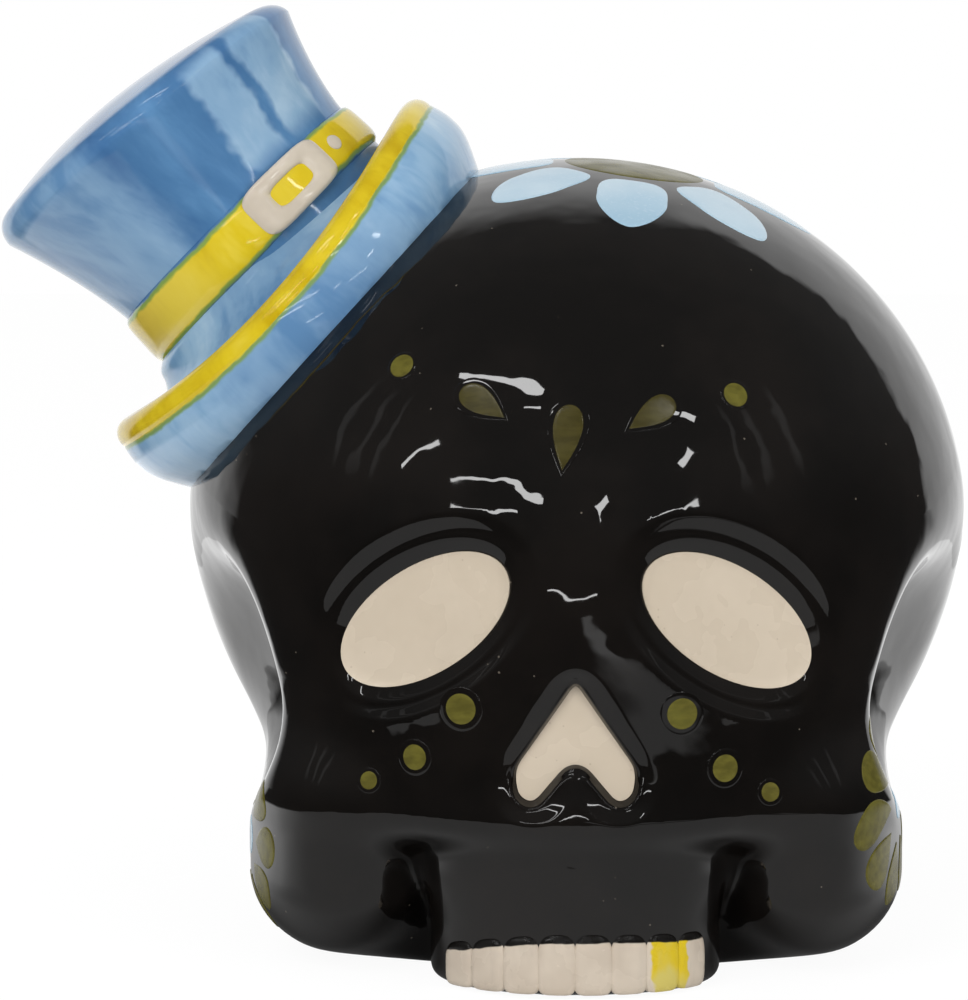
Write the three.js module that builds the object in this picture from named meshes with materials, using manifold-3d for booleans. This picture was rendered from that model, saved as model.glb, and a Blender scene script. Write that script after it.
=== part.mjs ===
// Sugar skull coin bank: a hollow black glazed ceramic skull with cream eye, nose and
// tooth pieces, and a blue top hat set on one side of the head at a tilt.
// Millimetres, +Z up, the face looks along -Y. The origin is on the ground under the
// middle of the whole piece.

import * as THREE from 'three';
import { mergeVertices } from 'three/addons/utils/BufferGeometryUtils.js';
import Module from 'manifold-3d';

const wasm = await Module();
wasm.setup();

// Fit between pieces that touch
const CLEARANCE = 0.3;

// How far a cut runs past the face it leaves by
const CUT_PAST = 1;

// Head
const CRANIUM_WIDTH = 141;
const CRANIUM_DEPTH = 146;
const CRANIUM_LEVEL = 70.5;
const CRANIUM_RISE = 67;
const CRANIUM_DROP = 62.5;
const CRANIUM_SETBACK = 6;
const WALL = 6;
const FLOOR_THICKNESS = 7;

// Cheeks, jaw lobes and foot
const CHEEK_WIDTH = 107;
const CHEEK_DEPTH = 101;
const CHEEK_PROUD = 3;
const CHEEK_LEAN = 8.5;
const CHEEK_LEVEL = 48;
const CHEEK_RISE = 60;
const CHEEK_UNDER_LEVEL = 30;
const CHEEK_UNDER_DROP = 14;
const CHEEK_BLEND = 15;
const LOBE_SPREAD = 38.8;
const LOBE_INSET = 41;
const LOBE_WIDTH = 36.2;
const LOBE_DEPTH = 62;
const LOBE_LEVEL = 28.5;
const LOBE_RISE = 16.5;
const LOBE_UNDER_LEVEL = 15;
const LOBE_UNDER_DROP = 15.5;
const LOBE_BLEND = 10;
const FOOT_WIDTH = 86;
const FOOT_DEPTH = 84;
const FOOT_INSET = 21;
const FOOT_CORNER = 30;
const FOOT_HEIGHT = 22;
const FOOT_BLEND = 18;
const TEMPLE_SPREAD = 64.5;
const TEMPLE_LEVEL = 47;
const TEMPLE_INSET = 43;
const TEMPLE_DEPTH = 17;
const TEMPLE_LENGTH = 52;
const TEMPLE_HEIGHT = 40;
const TEMPLE_BLEND = 6;

// Upper jaw and teeth
const MUZZLE_WIDTH = 53;
const MUZZLE_FOOT_WIDTH = 49;
const MUZZLE_FLARE_LEVEL = 20;
const MUZZLE_PROUD = 1;
const MUZZLE_ARCH = 18;
const MUZZLE_HEIGHT = 30;
const MUZZLE_BLEND = 6;
const TEETH_PER_SIDE = 4;
const TOOTH_WIDTH = 6.05;
const TOOTH_HEIGHT = 9.5;
const TOOTH_DEPTH = 3;
const TOOTH_BULGE = 0.5;
const TOOTH_LIFT = 0.5;

// Eye sockets
const EYE_LENGTH = 34.2;
const EYE_WIDTH = 17.8;
const EYE_TILT = 31;
const EYE_YAW = 24;
const EYE_SPACING = 49.9;
const EYE_LEVEL = 62;
const SOCKET_DEPTH = 4.4;
const SOCKET_LEDGE_DEPTH = 2;
const SOCKET_INNER_RIM = 2.4;
const SOCKET_OUTER_RIM = 6;
const PANEL_THICKNESS = 2.5;
const PANEL_LEAN = 3;

// Nose
const NOSE_WIDTH = 18.7;
const NOSE_HEIGHT = 18.7;
const NOSE_NOTCH = 6;
const NOSE_LOBE_RADIUS = 3.4;
const NOSE_LEVEL = 32.9;
const NOSE_DEPTH = 3.4;
const NOSE_RIM = 4;

// Coin slot at the back of the head
const SLOT_LENGTH = 38;
const SLOT_HEIGHT = 5;
const SLOT_LEVEL = 96;

// Opening and stopper under the base
const STOPPER_HOLE = 34;
const STOPPER_FLANGE = 41;
const STOPPER_RECESS = 3.2;
const STOPPER_FLANGE_THICKNESS = 2.2;
const STOPPER_LENGTH = 13;
const STOPPER_TAPER = 1;
const STOPPER_WALL = 3;

// Top hat
const HAT_TILT = 48;
const CROWN_SLANT = 8.9;
const CROWN_SWAY = 2.2;
const CROWN_DOME = 4;
const CROWN_HEIGHT = 39.6;
const CROWN_TOP_DIAMETER = 65.5;
const CROWN_WAIST_DIAMETER = 54;
const CROWN_WAIST_LEVEL = 13;
const CROWN_FOOT_DIAMETER = 57;
const CROWN_EDGE_RADIUS = 3;
const CROWN_WALL = 4;
const CROWN_FLARE = 1.6;
const CROWN_EDGE_TURN = 70;
const BAND_LEVEL = 6.3;
const BAND_WIDTH = 8.5;
const BAND_THICKNESS = 1.4;
const BUCKLE_LENGTH = 16;
const BUCKLE_BAR = 3;
const BUCKLE_THICKNESS = 1.2;
const BUCKLE_TURN = 27;
const BRIM_WIDTH = 12.5;
const BRIM_OFFSET = -2.4;
const BRIM_EDGE_LEVEL = -0.5;
const BRIM_CURL = 3;
const BRIM_COLLAR_LEVEL = 5.5;
const PIPING_DIAMETER = 5;

// Facets
const SKIN_DETAIL = 15;
const CAVITY_DETAIL = 7;
const FACE_GATHER = 0.72;
const OUTLINE_STEPS = 10;
const TOOTH_STEPS = 4;
const HAT_SEGMENTS = 40;
const STOPPER_SEGMENTS = 32;
const PIPING_SEGMENTS = 8;

const radians = THREE.MathUtils.degToRad;

// Closed solids and cuts

function solid(geometry) {
  const bare = geometry.clone();
  bare.deleteAttribute('normal');
  bare.deleteAttribute('uv');
  const merged = mergeVertices(bare, 1e-4);
  return new wasm.Manifold(new wasm.Mesh({
    numProp: 3,
    vertProperties: new Float32Array(merged.attributes.position.array),
    triVerts: new Uint32Array(merged.index.array),
  }));
}

function geometryOf(manifold) {
  const mesh = manifold.getMesh();
  const geometry = new THREE.BufferGeometry();
  geometry.setAttribute('position', new THREE.BufferAttribute(new Float32Array(mesh.vertProperties), 3));
  geometry.setIndex(new THREE.BufferAttribute(new Uint32Array(mesh.triVerts), 1));
  geometry.computeVertexNormals();
  return geometry;
}

function box(width, depth, height, x, y, z) {
  return solid(new THREE.BoxGeometry(width, depth, height).translate(x, y, z));
}

function turned(points, segments) {
  return new THREE.LatheGeometry(points, segments).rotateX(Math.PI / 2);
}

function moveVertices(geometry, move) {
  const position = geometry.attributes.position;
  const point = new THREE.Vector3();
  for (let i = 0; i < position.count; i += 1) {
    point.fromBufferAttribute(position, i);
    move(point);
    position.setXYZ(i, point.x, point.y, point.z);
  }
  return geometry;
}

// Smooth joining of the head's round forms

function smoothMin(a, b, reach) {
  const overlap = Math.max(reach - Math.abs(a - b), 0) / reach;
  return Math.min(a, b) - overlap * overlap * reach / 4;
}

function smoothStep(from, to, value) {
  const t = Math.min(Math.max((value - from) / (to - from), 0), 1);
  return t * t * (3 - 2 * t);
}

function ellipsoidDistance(x, y, z, rx, ry, rz) {
  const near = Math.hypot(x / rx, y / ry, z / rz);
  const slope = Math.hypot(x / (rx * rx), y / (ry * ry), z / (rz * rz));
  return near * (near - 1) / Math.max(slope, 1e-9);
}

function columnDistance(x, y, z, rx, ry, top) {
  return ellipsoidDistance(x, y, Math.max(z - top, 0), rx, ry, Math.min(rx, ry));
}

function blockDistance(x, y, z, halfX, halfY, corner, top) {
  const outX = Math.abs(x) - halfX + corner;
  const outY = Math.abs(y) - halfY + corner;
  const outZ = z - top + corner;
  const within = Math.min(Math.max(outX, outY, outZ), 0);
  return Math.hypot(Math.max(outX, 0), Math.max(outY, 0), Math.max(outZ, 0)) + within - corner;
}

const craniumRadiusX = CRANIUM_WIDTH / 2;
const craniumRadiusY = CRANIUM_DEPTH / 2;
// The forms of the face are set out from the front of the cranium
const faceLine = CRANIUM_SETBACK - craniumRadiusY;
const cheekCentreY = faceLine - CHEEK_PROUD + CHEEK_DEPTH / 2;
const muzzleCentreY = faceLine - MUZZLE_PROUD + MUZZLE_ARCH;
const lobeCentreY = faceLine + LOBE_INSET;
const footCentreY = faceLine + FOOT_INSET + FOOT_DEPTH / 2;
const templeCentreY = faceLine + TEMPLE_INSET;

// Height above or below a form's upright middle, as a share of its rounding
function swell(z, level, rise, underLevel, drop) {
  return Math.max(z - level, 0) / rise + Math.max(underLevel - z, 0) / drop;
}

// Negative inside the head, positive outside
function headDistance(x, y, z) {
  const side = Math.abs(x);
  const craniumRadiusZ = z > CRANIUM_LEVEL ? CRANIUM_RISE : CRANIUM_DROP;
  const cranium = ellipsoidDistance(
    side, y - CRANIUM_SETBACK, z - CRANIUM_LEVEL, craniumRadiusX, craniumRadiusY, craniumRadiusZ);
  const cheekLean = Math.tan(radians(CHEEK_LEAN)) * (z - CHEEK_UNDER_LEVEL);
  const cheekSwell = swell(z, CHEEK_LEVEL, CHEEK_RISE, CHEEK_UNDER_LEVEL, CHEEK_UNDER_DROP);
  const cheeks = ellipsoidDistance(
    side, y - cheekCentreY - cheekLean, cheekSwell * CHEEK_RISE,
    CHEEK_WIDTH / 2, CHEEK_DEPTH / 2, CHEEK_RISE);
  const foot = blockDistance(
    side, y - footCentreY, z, FOOT_WIDTH / 2, FOOT_DEPTH / 2, FOOT_CORNER, FOOT_HEIGHT);
  const lobeSwell = swell(z, LOBE_LEVEL, LOBE_RISE, LOBE_UNDER_LEVEL, LOBE_UNDER_DROP);
  const lobe = ellipsoidDistance(
    side - LOBE_SPREAD, y - lobeCentreY, lobeSwell * LOBE_RISE, LOBE_WIDTH / 2, LOBE_DEPTH / 2, LOBE_RISE);
  const flare = smoothStep(TOOTH_HEIGHT, MUZZLE_FLARE_LEVEL, z);
  const muzzleWidth = MUZZLE_FOOT_WIDTH + (MUZZLE_WIDTH - MUZZLE_FOOT_WIDTH) * flare;
  const muzzle = columnDistance(side, y - muzzleCentreY, z, muzzleWidth / 2, MUZZLE_ARCH, MUZZLE_HEIGHT);
  const temple = ellipsoidDistance(
    side - TEMPLE_SPREAD, y - templeCentreY, z - TEMPLE_LEVEL,
    TEMPLE_DEPTH, TEMPLE_LENGTH / 2, TEMPLE_HEIGHT / 2);
  let head = smoothMin(cranium, cheeks, CHEEK_BLEND);
  head = smoothMin(head, foot, FOOT_BLEND);
  head = smoothMin(head, lobe, LOBE_BLEND);
  head = smoothMin(head, muzzle, MUZZLE_BLEND);
  return Math.max(-smoothMin(-head, temple, TEMPLE_BLEND), -z - FOOT_HEIGHT);
}

// A point in the middle of the head, which every part of its skin can be seen from
const heart = new THREE.Vector3(0, (CRANIUM_SETBACK + cheekCentreY) / 2, (CRANIUM_LEVEL + CHEEK_LEVEL) / 2);
const stride = 2;

function depthAlong(direction, reach) {
  const { x, y, z } = direction.clone().multiplyScalar(reach).add(heart);
  return headDistance(x, y, z);
}

function headPoint(direction) {
  let inside = 0;
  for (let reach = 0; reach < CRANIUM_WIDTH + CRANIUM_DEPTH; reach += stride) {
    if (depthAlong(direction, reach) < 0) inside = reach;
  }
  let outside = inside + stride;
  for (let i = 0; i < 16; i += 1) {
    const middle = (inside + outside) / 2;
    if (depthAlong(direction, middle) < 0) inside = middle;
    else outside = middle;
  }
  return direction.clone().multiplyScalar(inside).add(heart);
}

function faceFront(x, z) {
  let inside = heart.y;
  let outside = -CRANIUM_DEPTH;
  for (let i = 0; i < 24; i += 1) {
    const middle = (inside + outside) / 2;
    if (headDistance(x, middle, z) < 0) inside = middle;
    else outside = middle;
  }
  return inside;
}

// Eye and nose recesses: each has a flat floor with its own outline

function outlineDistance(outline, u, v) {
  let nearest = Infinity;
  let inside = false;
  for (let i = 0, j = outline.length - 1; i < outline.length; j = i, i += 1) {
    const a = outline[i];
    const b = outline[j];
    const length = Math.max(a.distanceToSquared(b), 1e-12);
    const along = ((u - a.x) * (b.x - a.x) + (v - a.y) * (b.y - a.y)) / length;
    const t = Math.min(Math.max(along, 0), 1);
    nearest = Math.min(nearest, Math.hypot(u - a.x - t * (b.x - a.x), v - a.y - t * (b.y - a.y)));
    if ((a.y > v) !== (b.y > v) && u < (b.x - a.x) * (v - a.y) / (b.y - a.y) + a.x) inside = !inside;
  }
  return inside ? -nearest : nearest;
}

function eyeShape(side, margin) {
  const shape = new THREE.Shape();
  const half = EYE_LENGTH / 2 + margin;
  const rise = EYE_WIDTH / 2 + margin;
  return shape.absellipse(0, 0, half, rise, 0, 2 * Math.PI, false, -side * radians(EYE_TILT));
}

function noseShape(margin) {
  const lobe = NOSE_LOBE_RADIUS + margin;
  const lobeX = NOSE_WIDTH / 2 - NOSE_LOBE_RADIUS;
  const lobeY = NOSE_LOBE_RADIUS;
  const notchX = lobeX - lobe;
  const notchY = NOSE_NOTCH - margin;
  const apex = NOSE_HEIGHT + 2 * margin;
  const tangent = Math.atan2(apex - lobeY, -lobeX) - Math.acos(lobe / Math.hypot(lobeX, apex - lobeY));
  const shape = new THREE.Shape();
  shape.moveTo(0, notchY);
  shape.quadraticCurveTo(notchX, notchY, notchX, lobeY);
  shape.absarc(lobeX, lobeY, lobe, Math.PI, 2 * Math.PI + tangent, false);
  shape.lineTo(0, apex);
  shape.absarc(-lobeX, lobeY, lobe, Math.PI - tangent, 2 * Math.PI, false);
  shape.quadraticCurveTo(-notchX, notchY, 0, notchY);
  return shape;
}

// A recess is worked in a frame on its floor: local x across, y up, z out of the face
function recess(x, z, yaw, depth, shape, steps) {
  const frame = new THREE.Matrix4().makeRotationZ(radians(yaw));
  frame.multiply(new THREE.Matrix4().makeRotationX(Math.PI / 2 - radians(PANEL_LEAN)));
  frame.setPosition(x, faceFront(x, z) + depth, z);
  const outline = shape(0).getPoints(OUTLINE_STEPS);
  return { frame, inverse: frame.clone().invert(), shape, outline, steps };
}

function eyeRecess(side) {
  const ledge = SOCKET_LEDGE_DEPTH / SOCKET_DEPTH;
  const steps = [
    { share: 1 - ledge, from: CLEARANCE, to: SOCKET_INNER_RIM },
    { share: ledge, from: SOCKET_INNER_RIM, to: SOCKET_OUTER_RIM },
  ];
  const shape = (margin) => eyeShape(side, margin);
  return recess(side * EYE_SPACING / 2, EYE_LEVEL, side * EYE_YAW, SOCKET_DEPTH, shape, steps);
}

const eyeLeft = eyeRecess(-1);
const eyeRight = eyeRecess(1);
const nose = recess(0, NOSE_LEVEL, 0, NOSE_DEPTH, noseShape, [{ share: 1, from: CLEARANCE, to: NOSE_RIM }]);

function sink(point, hollow) {
  if (point.y > heart.y) return;
  point.applyMatrix4(hollow.inverse);
  const away = outlineDistance(hollow.outline, point.x, point.y);
  let raised = 0;
  for (const step of hollow.steps) raised += step.share * smoothStep(step.from, step.to, away);
  point.z *= raised;
  point.applyMatrix4(hollow.frame);
}

// The head's skin, moved out by grow, or in where grow is negative.
// Facets are gathered towards the face, where the small forms are.
function headSkin(detail, grow) {
  const ball = new THREE.IcosahedronGeometry(1, detail);
  ball.deleteAttribute('normal');
  ball.deleteAttribute('uv');
  const skin = mergeVertices(ball, 1e-5);
  return moveVertices(skin, (point) => {
    point.normalize();
    const spread = FACE_GATHER * Math.sqrt(Math.max(1 + point.y, 0) / Math.max(1 - point.y, 1e-9));
    const ring = Math.hypot(point.x, point.z);
    const radius = 2 * spread / (1 + spread * spread);
    if (ring > 1e-6) {
      const y = (spread * spread - 1) / (spread * spread + 1);
      point.set(point.x * radius / ring, y, point.z * radius / ring);
    }
    point.copy(headPoint(point));
    for (const hollow of [eyeLeft, eyeRight, nose]) sink(point, hollow);
    const out = point.clone().sub(heart).normalize();
    point.addScaledVector(out, grow);
  });
}

// Teeth stand along the arch of the upper jaw, from the middle outward
function archAngle(length) {
  const step = 0.002;
  let angle = 0;
  let walked = 0;
  while (walked < length) {
    walked += step * Math.hypot(MUZZLE_FOOT_WIDTH / 2 * Math.cos(angle), MUZZLE_ARCH * Math.sin(angle));
    angle += step;
  }
  return angle;
}

function archPoint(angle, out) {
  const x = (MUZZLE_FOOT_WIDTH / 2 + out) * Math.sin(angle);
  const y = muzzleCentreY - (MUZZLE_ARCH + out) * Math.cos(angle);
  return new THREE.Vector2(x, y);
}

function archBlock(from, to, outer, inner, bulge, bottom, top, pieces) {
  const points = [];
  for (let i = 0; i <= pieces; i += 1) {
    const share = i / pieces;
    points.push(archPoint(from + (to - from) * share, outer + bulge * 4 * share * (1 - share)));
  }
  for (let i = pieces; i >= 0; i -= 1) {
    points.push(archPoint(from + (to - from) * i / pieces, -inner));
  }
  const shape = new THREE.Shape(points);
  const block = new THREE.ExtrudeGeometry(shape, { depth: top - bottom, bevelEnabled: false });
  return block.translate(0, 0, bottom);
}

const archEnd = archAngle(TEETH_PER_SIDE * TOOTH_WIDTH);
const toothGap = CLEARANCE / 2 / MUZZLE_ARCH;

function toothGeometry(side, place) {
  const near = archAngle((place - 1) * TOOTH_WIDTH) + toothGap;
  const far = archAngle(place * TOOTH_WIDTH) - toothGap;
  const from = Math.min(side * near, side * far);
  const to = Math.max(side * near, side * far);
  return archBlock(from, to, 0, TOOTH_DEPTH, TOOTH_BULGE, TOOTH_LIFT, TOOTH_HEIGHT, TOOTH_STEPS);
}

function toothChannel(behind, above, ends) {
  const end = archEnd + ends / MUZZLE_ARCH;
  const pieces = 2 * TEETH_PER_SIDE * TOOTH_STEPS;
  return solid(archBlock(-end, end, WALL, TOOTH_DEPTH + behind, 0, -CUT_PAST, TOOTH_HEIGHT + above, pieces));
}

// Panels that lie on the floors of the recesses

function panelGeometry(hollow) {
  const plate = new THREE.ExtrudeGeometry(hollow.shape(0), {
    depth: PANEL_THICKNESS, bevelEnabled: false, curveSegments: OUTLINE_STEPS,
  });
  return plate.translate(0, 0, -PANEL_THICKNESS).applyMatrix4(hollow.frame);
}

function panelPocket(hollow) {
  const depth = PANEL_THICKNESS + CLEARANCE + SOCKET_DEPTH;
  const cut = new THREE.ExtrudeGeometry(hollow.shape(CLEARANCE), {
    depth, bevelEnabled: false, curveSegments: OUTLINE_STEPS,
  });
  return solid(cut.translate(0, 0, -PANEL_THICKNESS - CLEARANCE).applyMatrix4(hollow.frame));
}

// Skull

function coinSlot() {
  const end = SLOT_HEIGHT / 2;
  const reach = SLOT_LENGTH / 2 - end;
  const shape = new THREE.Shape();
  shape.moveTo(-reach, -end);
  shape.lineTo(reach, -end);
  shape.absarc(reach, 0, end, -Math.PI / 2, Math.PI / 2, false);
  shape.lineTo(-reach, end);
  shape.absarc(-reach, 0, end, Math.PI / 2, 3 * Math.PI / 2, false);
  const cut = new THREE.ExtrudeGeometry(shape, {
    depth: CRANIUM_DEPTH, bevelEnabled: false, curveSegments: OUTLINE_STEPS,
  });
  return solid(cut.rotateX(-Math.PI / 2).translate(0, CRANIUM_SETBACK, SLOT_LEVEL));
}

function baseOpening() {
  const hole = STOPPER_HOLE / 2;
  const recessRadius = STOPPER_FLANGE / 2 + CLEARANCE;
  const profile = [
    new THREE.Vector2(0, -CUT_PAST),
    new THREE.Vector2(recessRadius, -CUT_PAST),
    new THREE.Vector2(recessRadius, STOPPER_RECESS),
    new THREE.Vector2(hole, STOPPER_RECESS),
    new THREE.Vector2(hole, FLOOR_THICKNESS + CUT_PAST),
    new THREE.Vector2(0, FLOOR_THICKNESS + CUT_PAST),
  ];
  return solid(turned(profile, STOPPER_SEGMENTS));
}

const reachBelow = 2 * CRANIUM_LEVEL;
const span = 3 * CRANIUM_WIDTH;
const belowGround = box(span, span, reachBelow, 0, 0, -reachBelow / 2);
const belowFloor = box(span, span, reachBelow, 0, 0, FLOOR_THICKNESS - reachBelow / 2);

function skullShell() {
  let cavity = solid(headSkin(CAVITY_DETAIL, -WALL)).subtract(belowFloor);
  cavity = cavity.subtract(toothChannel(WALL, WALL, WALL));
  let shell = solid(headSkin(SKIN_DETAIL, 0)).subtract(belowGround).subtract(cavity);
  shell = shell.subtract(baseOpening()).subtract(coinSlot());
  for (const hollow of [eyeLeft, eyeRight, nose]) shell = shell.subtract(panelPocket(hollow));
  return shell.subtract(toothChannel(CLEARANCE, CLEARANCE, CLEARANCE));
}

function stopperGeometry() {
  const flange = STOPPER_FLANGE / 2;
  const plug = STOPPER_HOLE / 2 - CLEARANCE;
  const bottom = STOPPER_RECESS - CLEARANCE - STOPPER_FLANGE_THICKNESS;
  const shoulder = STOPPER_RECESS - CLEARANCE;
  const top = shoulder + STOPPER_LENGTH;
  const profile = [
    new THREE.Vector2(0, top - STOPPER_WALL),
    new THREE.Vector2(plug - STOPPER_TAPER - STOPPER_WALL, top - STOPPER_WALL),
    new THREE.Vector2(plug - STOPPER_WALL, bottom),
    new THREE.Vector2(flange, bottom),
    new THREE.Vector2(flange, shoulder),
    new THREE.Vector2(plug, shoulder),
    new THREE.Vector2(plug - STOPPER_TAPER, top),
    new THREE.Vector2(0, top),
  ];
  return turned(profile, STOPPER_SEGMENTS);
}

// Top hat, worked in a frame on the head: local z along the hat, x up the slope

const hatFrame = new THREE.Matrix4().makeRotationY(-radians(HAT_TILT));
const hatX = -Math.sin(radians(HAT_TILT));
const hatZ = Math.cos(radians(HAT_TILT));
const hatReach = 1 / Math.hypot(hatX / craniumRadiusX, hatZ / CRANIUM_RISE);
hatFrame.setPosition(hatX * hatReach, CRANIUM_SETBACK, CRANIUM_LEVEL + hatZ * hatReach);
const brimRadius = CROWN_FOOT_DIAMETER / 2 + BRIM_WIDTH;
// The hat's blanks reach this far into the head before they are cut to it
const brimSag = hatReach - Math.sqrt(Math.max(hatReach ** 2 - brimRadius ** 2, 0));
const hatBelow = -brimSag - PIPING_DIAMETER;

function crownRadius(z) {
  if (z < CROWN_WAIST_LEVEL) {
    const t = (CROWN_WAIST_LEVEL - z) / (CROWN_WAIST_LEVEL - hatBelow);
    return (CROWN_WAIST_DIAMETER + (CROWN_FOOT_DIAMETER - CROWN_WAIST_DIAMETER) * t) / 2;
  }
  const t = (z - CROWN_WAIST_LEVEL) / (CROWN_HEIGHT - CROWN_WAIST_LEVEL);
  return (CROWN_WAIST_DIAMETER + (CROWN_TOP_DIAMETER - CROWN_WAIST_DIAMETER) * t ** CROWN_FLARE) / 2;
}

function crownSide(from, to, out, pieces) {
  const points = [];
  for (let i = 0; i <= pieces; i += 1) {
    const z = from + (to - from) * i / pieces;
    points.push(new THREE.Vector2(crownRadius(z) + out, z));
  }
  return points;
}

// The crown stands taller on the low side of the slope
function lean(geometry) {
  return moveVertices(geometry, (point) => {
    const share = Math.max(point.z, 0) / CROWN_HEIGHT;
    point.z -= point.x * Math.tan(radians(CROWN_SLANT)) * share;
    point.x += CROWN_SWAY * share;
  });
}

function crownBody(out) {
  const edge = CROWN_EDGE_RADIUS;
  const rim = crownRadius(CROWN_HEIGHT) - edge;
  const points = crownSide(hatBelow, CROWN_HEIGHT - edge, out, 9);
  points.unshift(new THREE.Vector2(0, hatBelow));
  for (let i = 1; i <= 3; i += 1) {
    const turn = i / 3 * radians(CROWN_EDGE_TURN);
    const x = rim + (edge + out) * Math.cos(turn);
    points.push(new THREE.Vector2(x, CROWN_HEIGHT - edge + (edge + out) * Math.sin(turn)));
  }
  for (let i = 3; i >= 0; i -= 1) {
    const share = i / 4;
    points.push(new THREE.Vector2(rim * share, CROWN_HEIGHT + out + CROWN_DOME * (1 - share * share)));
  }
  return solid(lean(turned(points, HAT_SEGMENTS)).applyMatrix4(hatFrame));
}

function crownHollow() {
  const bottom = hatBelow - CUT_PAST;
  const points = crownSide(bottom, CROWN_HEIGHT - CROWN_WALL, -CROWN_WALL, 6);
  points.unshift(new THREE.Vector2(0, bottom));
  points.push(new THREE.Vector2(0, CROWN_HEIGHT - CROWN_WALL));
  return solid(lean(turned(points, HAT_SEGMENTS)).applyMatrix4(hatFrame));
}

function bandGeometry() {
  const inner = crownSide(BAND_LEVEL, BAND_LEVEL + BAND_WIDTH, CLEARANCE, 2);
  const outer = crownSide(BAND_LEVEL, BAND_LEVEL + BAND_WIDTH, CLEARANCE + BAND_THICKNESS, 2);
  const points = [...outer, ...inner.reverse()];
  points.push(points[0].clone());
  return lean(turned(points, HAT_SEGMENTS)).applyMatrix4(hatFrame);
}

function rectangle(target, length, width, pieces) {
  target.moveTo(-length / 2, -width / 2);
  for (let i = 1; i <= pieces; i += 1) target.lineTo(-length / 2 + length * i / pieces, -width / 2);
  for (let i = 0; i <= pieces; i += 1) target.lineTo(length / 2 - length * i / pieces, width / 2);
  target.closePath();
  return target;
}

function buckleBody() {
  const shape = rectangle(new THREE.Shape(), BUCKLE_LENGTH, BAND_WIDTH, 6);
  const windowLength = BUCKLE_LENGTH - 2 * BUCKLE_BAR;
  const windowWidth = BAND_WIDTH - 2 * BUCKLE_BAR;
  shape.holes.push(rectangle(new THREE.Path(), windowLength, windowWidth, 4));
  const rise = BAND_THICKNESS + 2 * CLEARANCE + BUCKLE_THICKNESS;
  const frame = new THREE.ExtrudeGeometry(shape, { depth: rise, bevelEnabled: false });
  moveVertices(frame, (point) => {
    const z = BAND_LEVEL + BAND_WIDTH / 2 + point.y;
    const angle = radians(BUCKLE_TURN - 90) + point.x / crownRadius(z);
    const radius = crownRadius(z) + point.z;
    point.set(radius * Math.cos(angle), radius * Math.sin(angle), z);
  });
  const low = BAND_LEVEL - CUT_PAST;
  const high = BAND_LEVEL + BAND_WIDTH + CUT_PAST;
  const strap = crownSide(low, high, 2 * CLEARANCE + BAND_THICKNESS, 6);
  strap.unshift(new THREE.Vector2(0, low));
  strap.push(new THREE.Vector2(0, high));
  const drum = solid(lean(turned(strap, HAT_SEGMENTS)).applyMatrix4(hatFrame));
  return solid(lean(frame).applyMatrix4(hatFrame)).subtract(drum);
}

function curl(geometry) {
  const foot = CROWN_FOOT_DIAMETER / 2;
  return moveVertices(geometry, (point) => {
    const radius = Math.hypot(point.x, point.y);
    const share = smoothStep(foot, brimRadius, radius);
    const angle = Math.atan2(point.y, point.x);
    point.z += BRIM_CURL * share * Math.cos(2 * angle);
    point.x += BRIM_OFFSET;
  });
}

class BrimEdge extends THREE.Curve {
  getPoint(t, target = new THREE.Vector3()) {
    const angle = 2 * Math.PI * t;
    const radius = brimRadius - PIPING_DIAMETER / 2;
    const z = BRIM_EDGE_LEVEL + BRIM_CURL * Math.cos(2 * angle);
    return target.set(radius * Math.cos(angle) + BRIM_OFFSET, radius * Math.sin(angle), z);
  }
}

function pipingGeometry(grow) {
  const radius = PIPING_DIAMETER / 2 + grow;
  const tube = new THREE.TubeGeometry(new BrimEdge(), HAT_SEGMENTS, radius, PIPING_SEGMENTS, true);
  return tube.applyMatrix4(hatFrame);
}

function brimBody() {
  const inner = CROWN_WAIST_DIAMETER / 2 - CROWN_WALL;
  const roll = PIPING_DIAMETER / 2;
  const points = [
    new THREE.Vector2(inner, hatBelow),
    new THREE.Vector2(brimRadius - 2 * roll, hatBelow),
    new THREE.Vector2(brimRadius, BRIM_EDGE_LEVEL - 4 * roll),
    new THREE.Vector2(brimRadius + roll / 2, BRIM_EDGE_LEVEL - 2 * roll),
    new THREE.Vector2(brimRadius, BRIM_EDGE_LEVEL),
    new THREE.Vector2(brimRadius - roll, BRIM_EDGE_LEVEL + roll / 2),
    new THREE.Vector2(brimRadius - 3 * roll, BRIM_EDGE_LEVEL),
    new THREE.Vector2(CROWN_FOOT_DIAMETER / 2 + roll / 2, (BRIM_EDGE_LEVEL + BRIM_COLLAR_LEVEL) / 2),
    new THREE.Vector2(CROWN_FOOT_DIAMETER / 2 - roll / 2, BRIM_COLLAR_LEVEL),
    new THREE.Vector2(inner, BRIM_COLLAR_LEVEL),
    new THREE.Vector2(inner, hatBelow),
  ];
  return solid(curl(turned(points, HAT_SEGMENTS)).applyMatrix4(hatFrame));
}

// Assembly

const parts = new THREE.Group();

function add(name, geometry, colour, roughness) {
  const material = new THREE.MeshStandardMaterial({ color: colour, roughness, metalness: 0 });
  const mesh = new THREE.Mesh(geometry, material);
  mesh.name = name;
  parts.add(mesh);
}

const BLACK_GLAZE = 0x14110f;
const CREAM_GLAZE = 0xd2c4b0;
const GOLD_GLAZE = 0xe6c83c;
const BLUE_GLAZE = 0x6496c8;
const YELLOW_GLAZE = 0xe6cd28;
const STOPPER_GREY = 0x2b2a29;

add('skull_shell', geometryOf(skullShell()), BLACK_GLAZE, 0.08);
add('eye_panel_left', panelGeometry(eyeLeft), CREAM_GLAZE, 0.4);
add('eye_panel_right', panelGeometry(eyeRight), CREAM_GLAZE, 0.4);
add('nose_panel', panelGeometry(nose), CREAM_GLAZE, 0.4);

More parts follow.
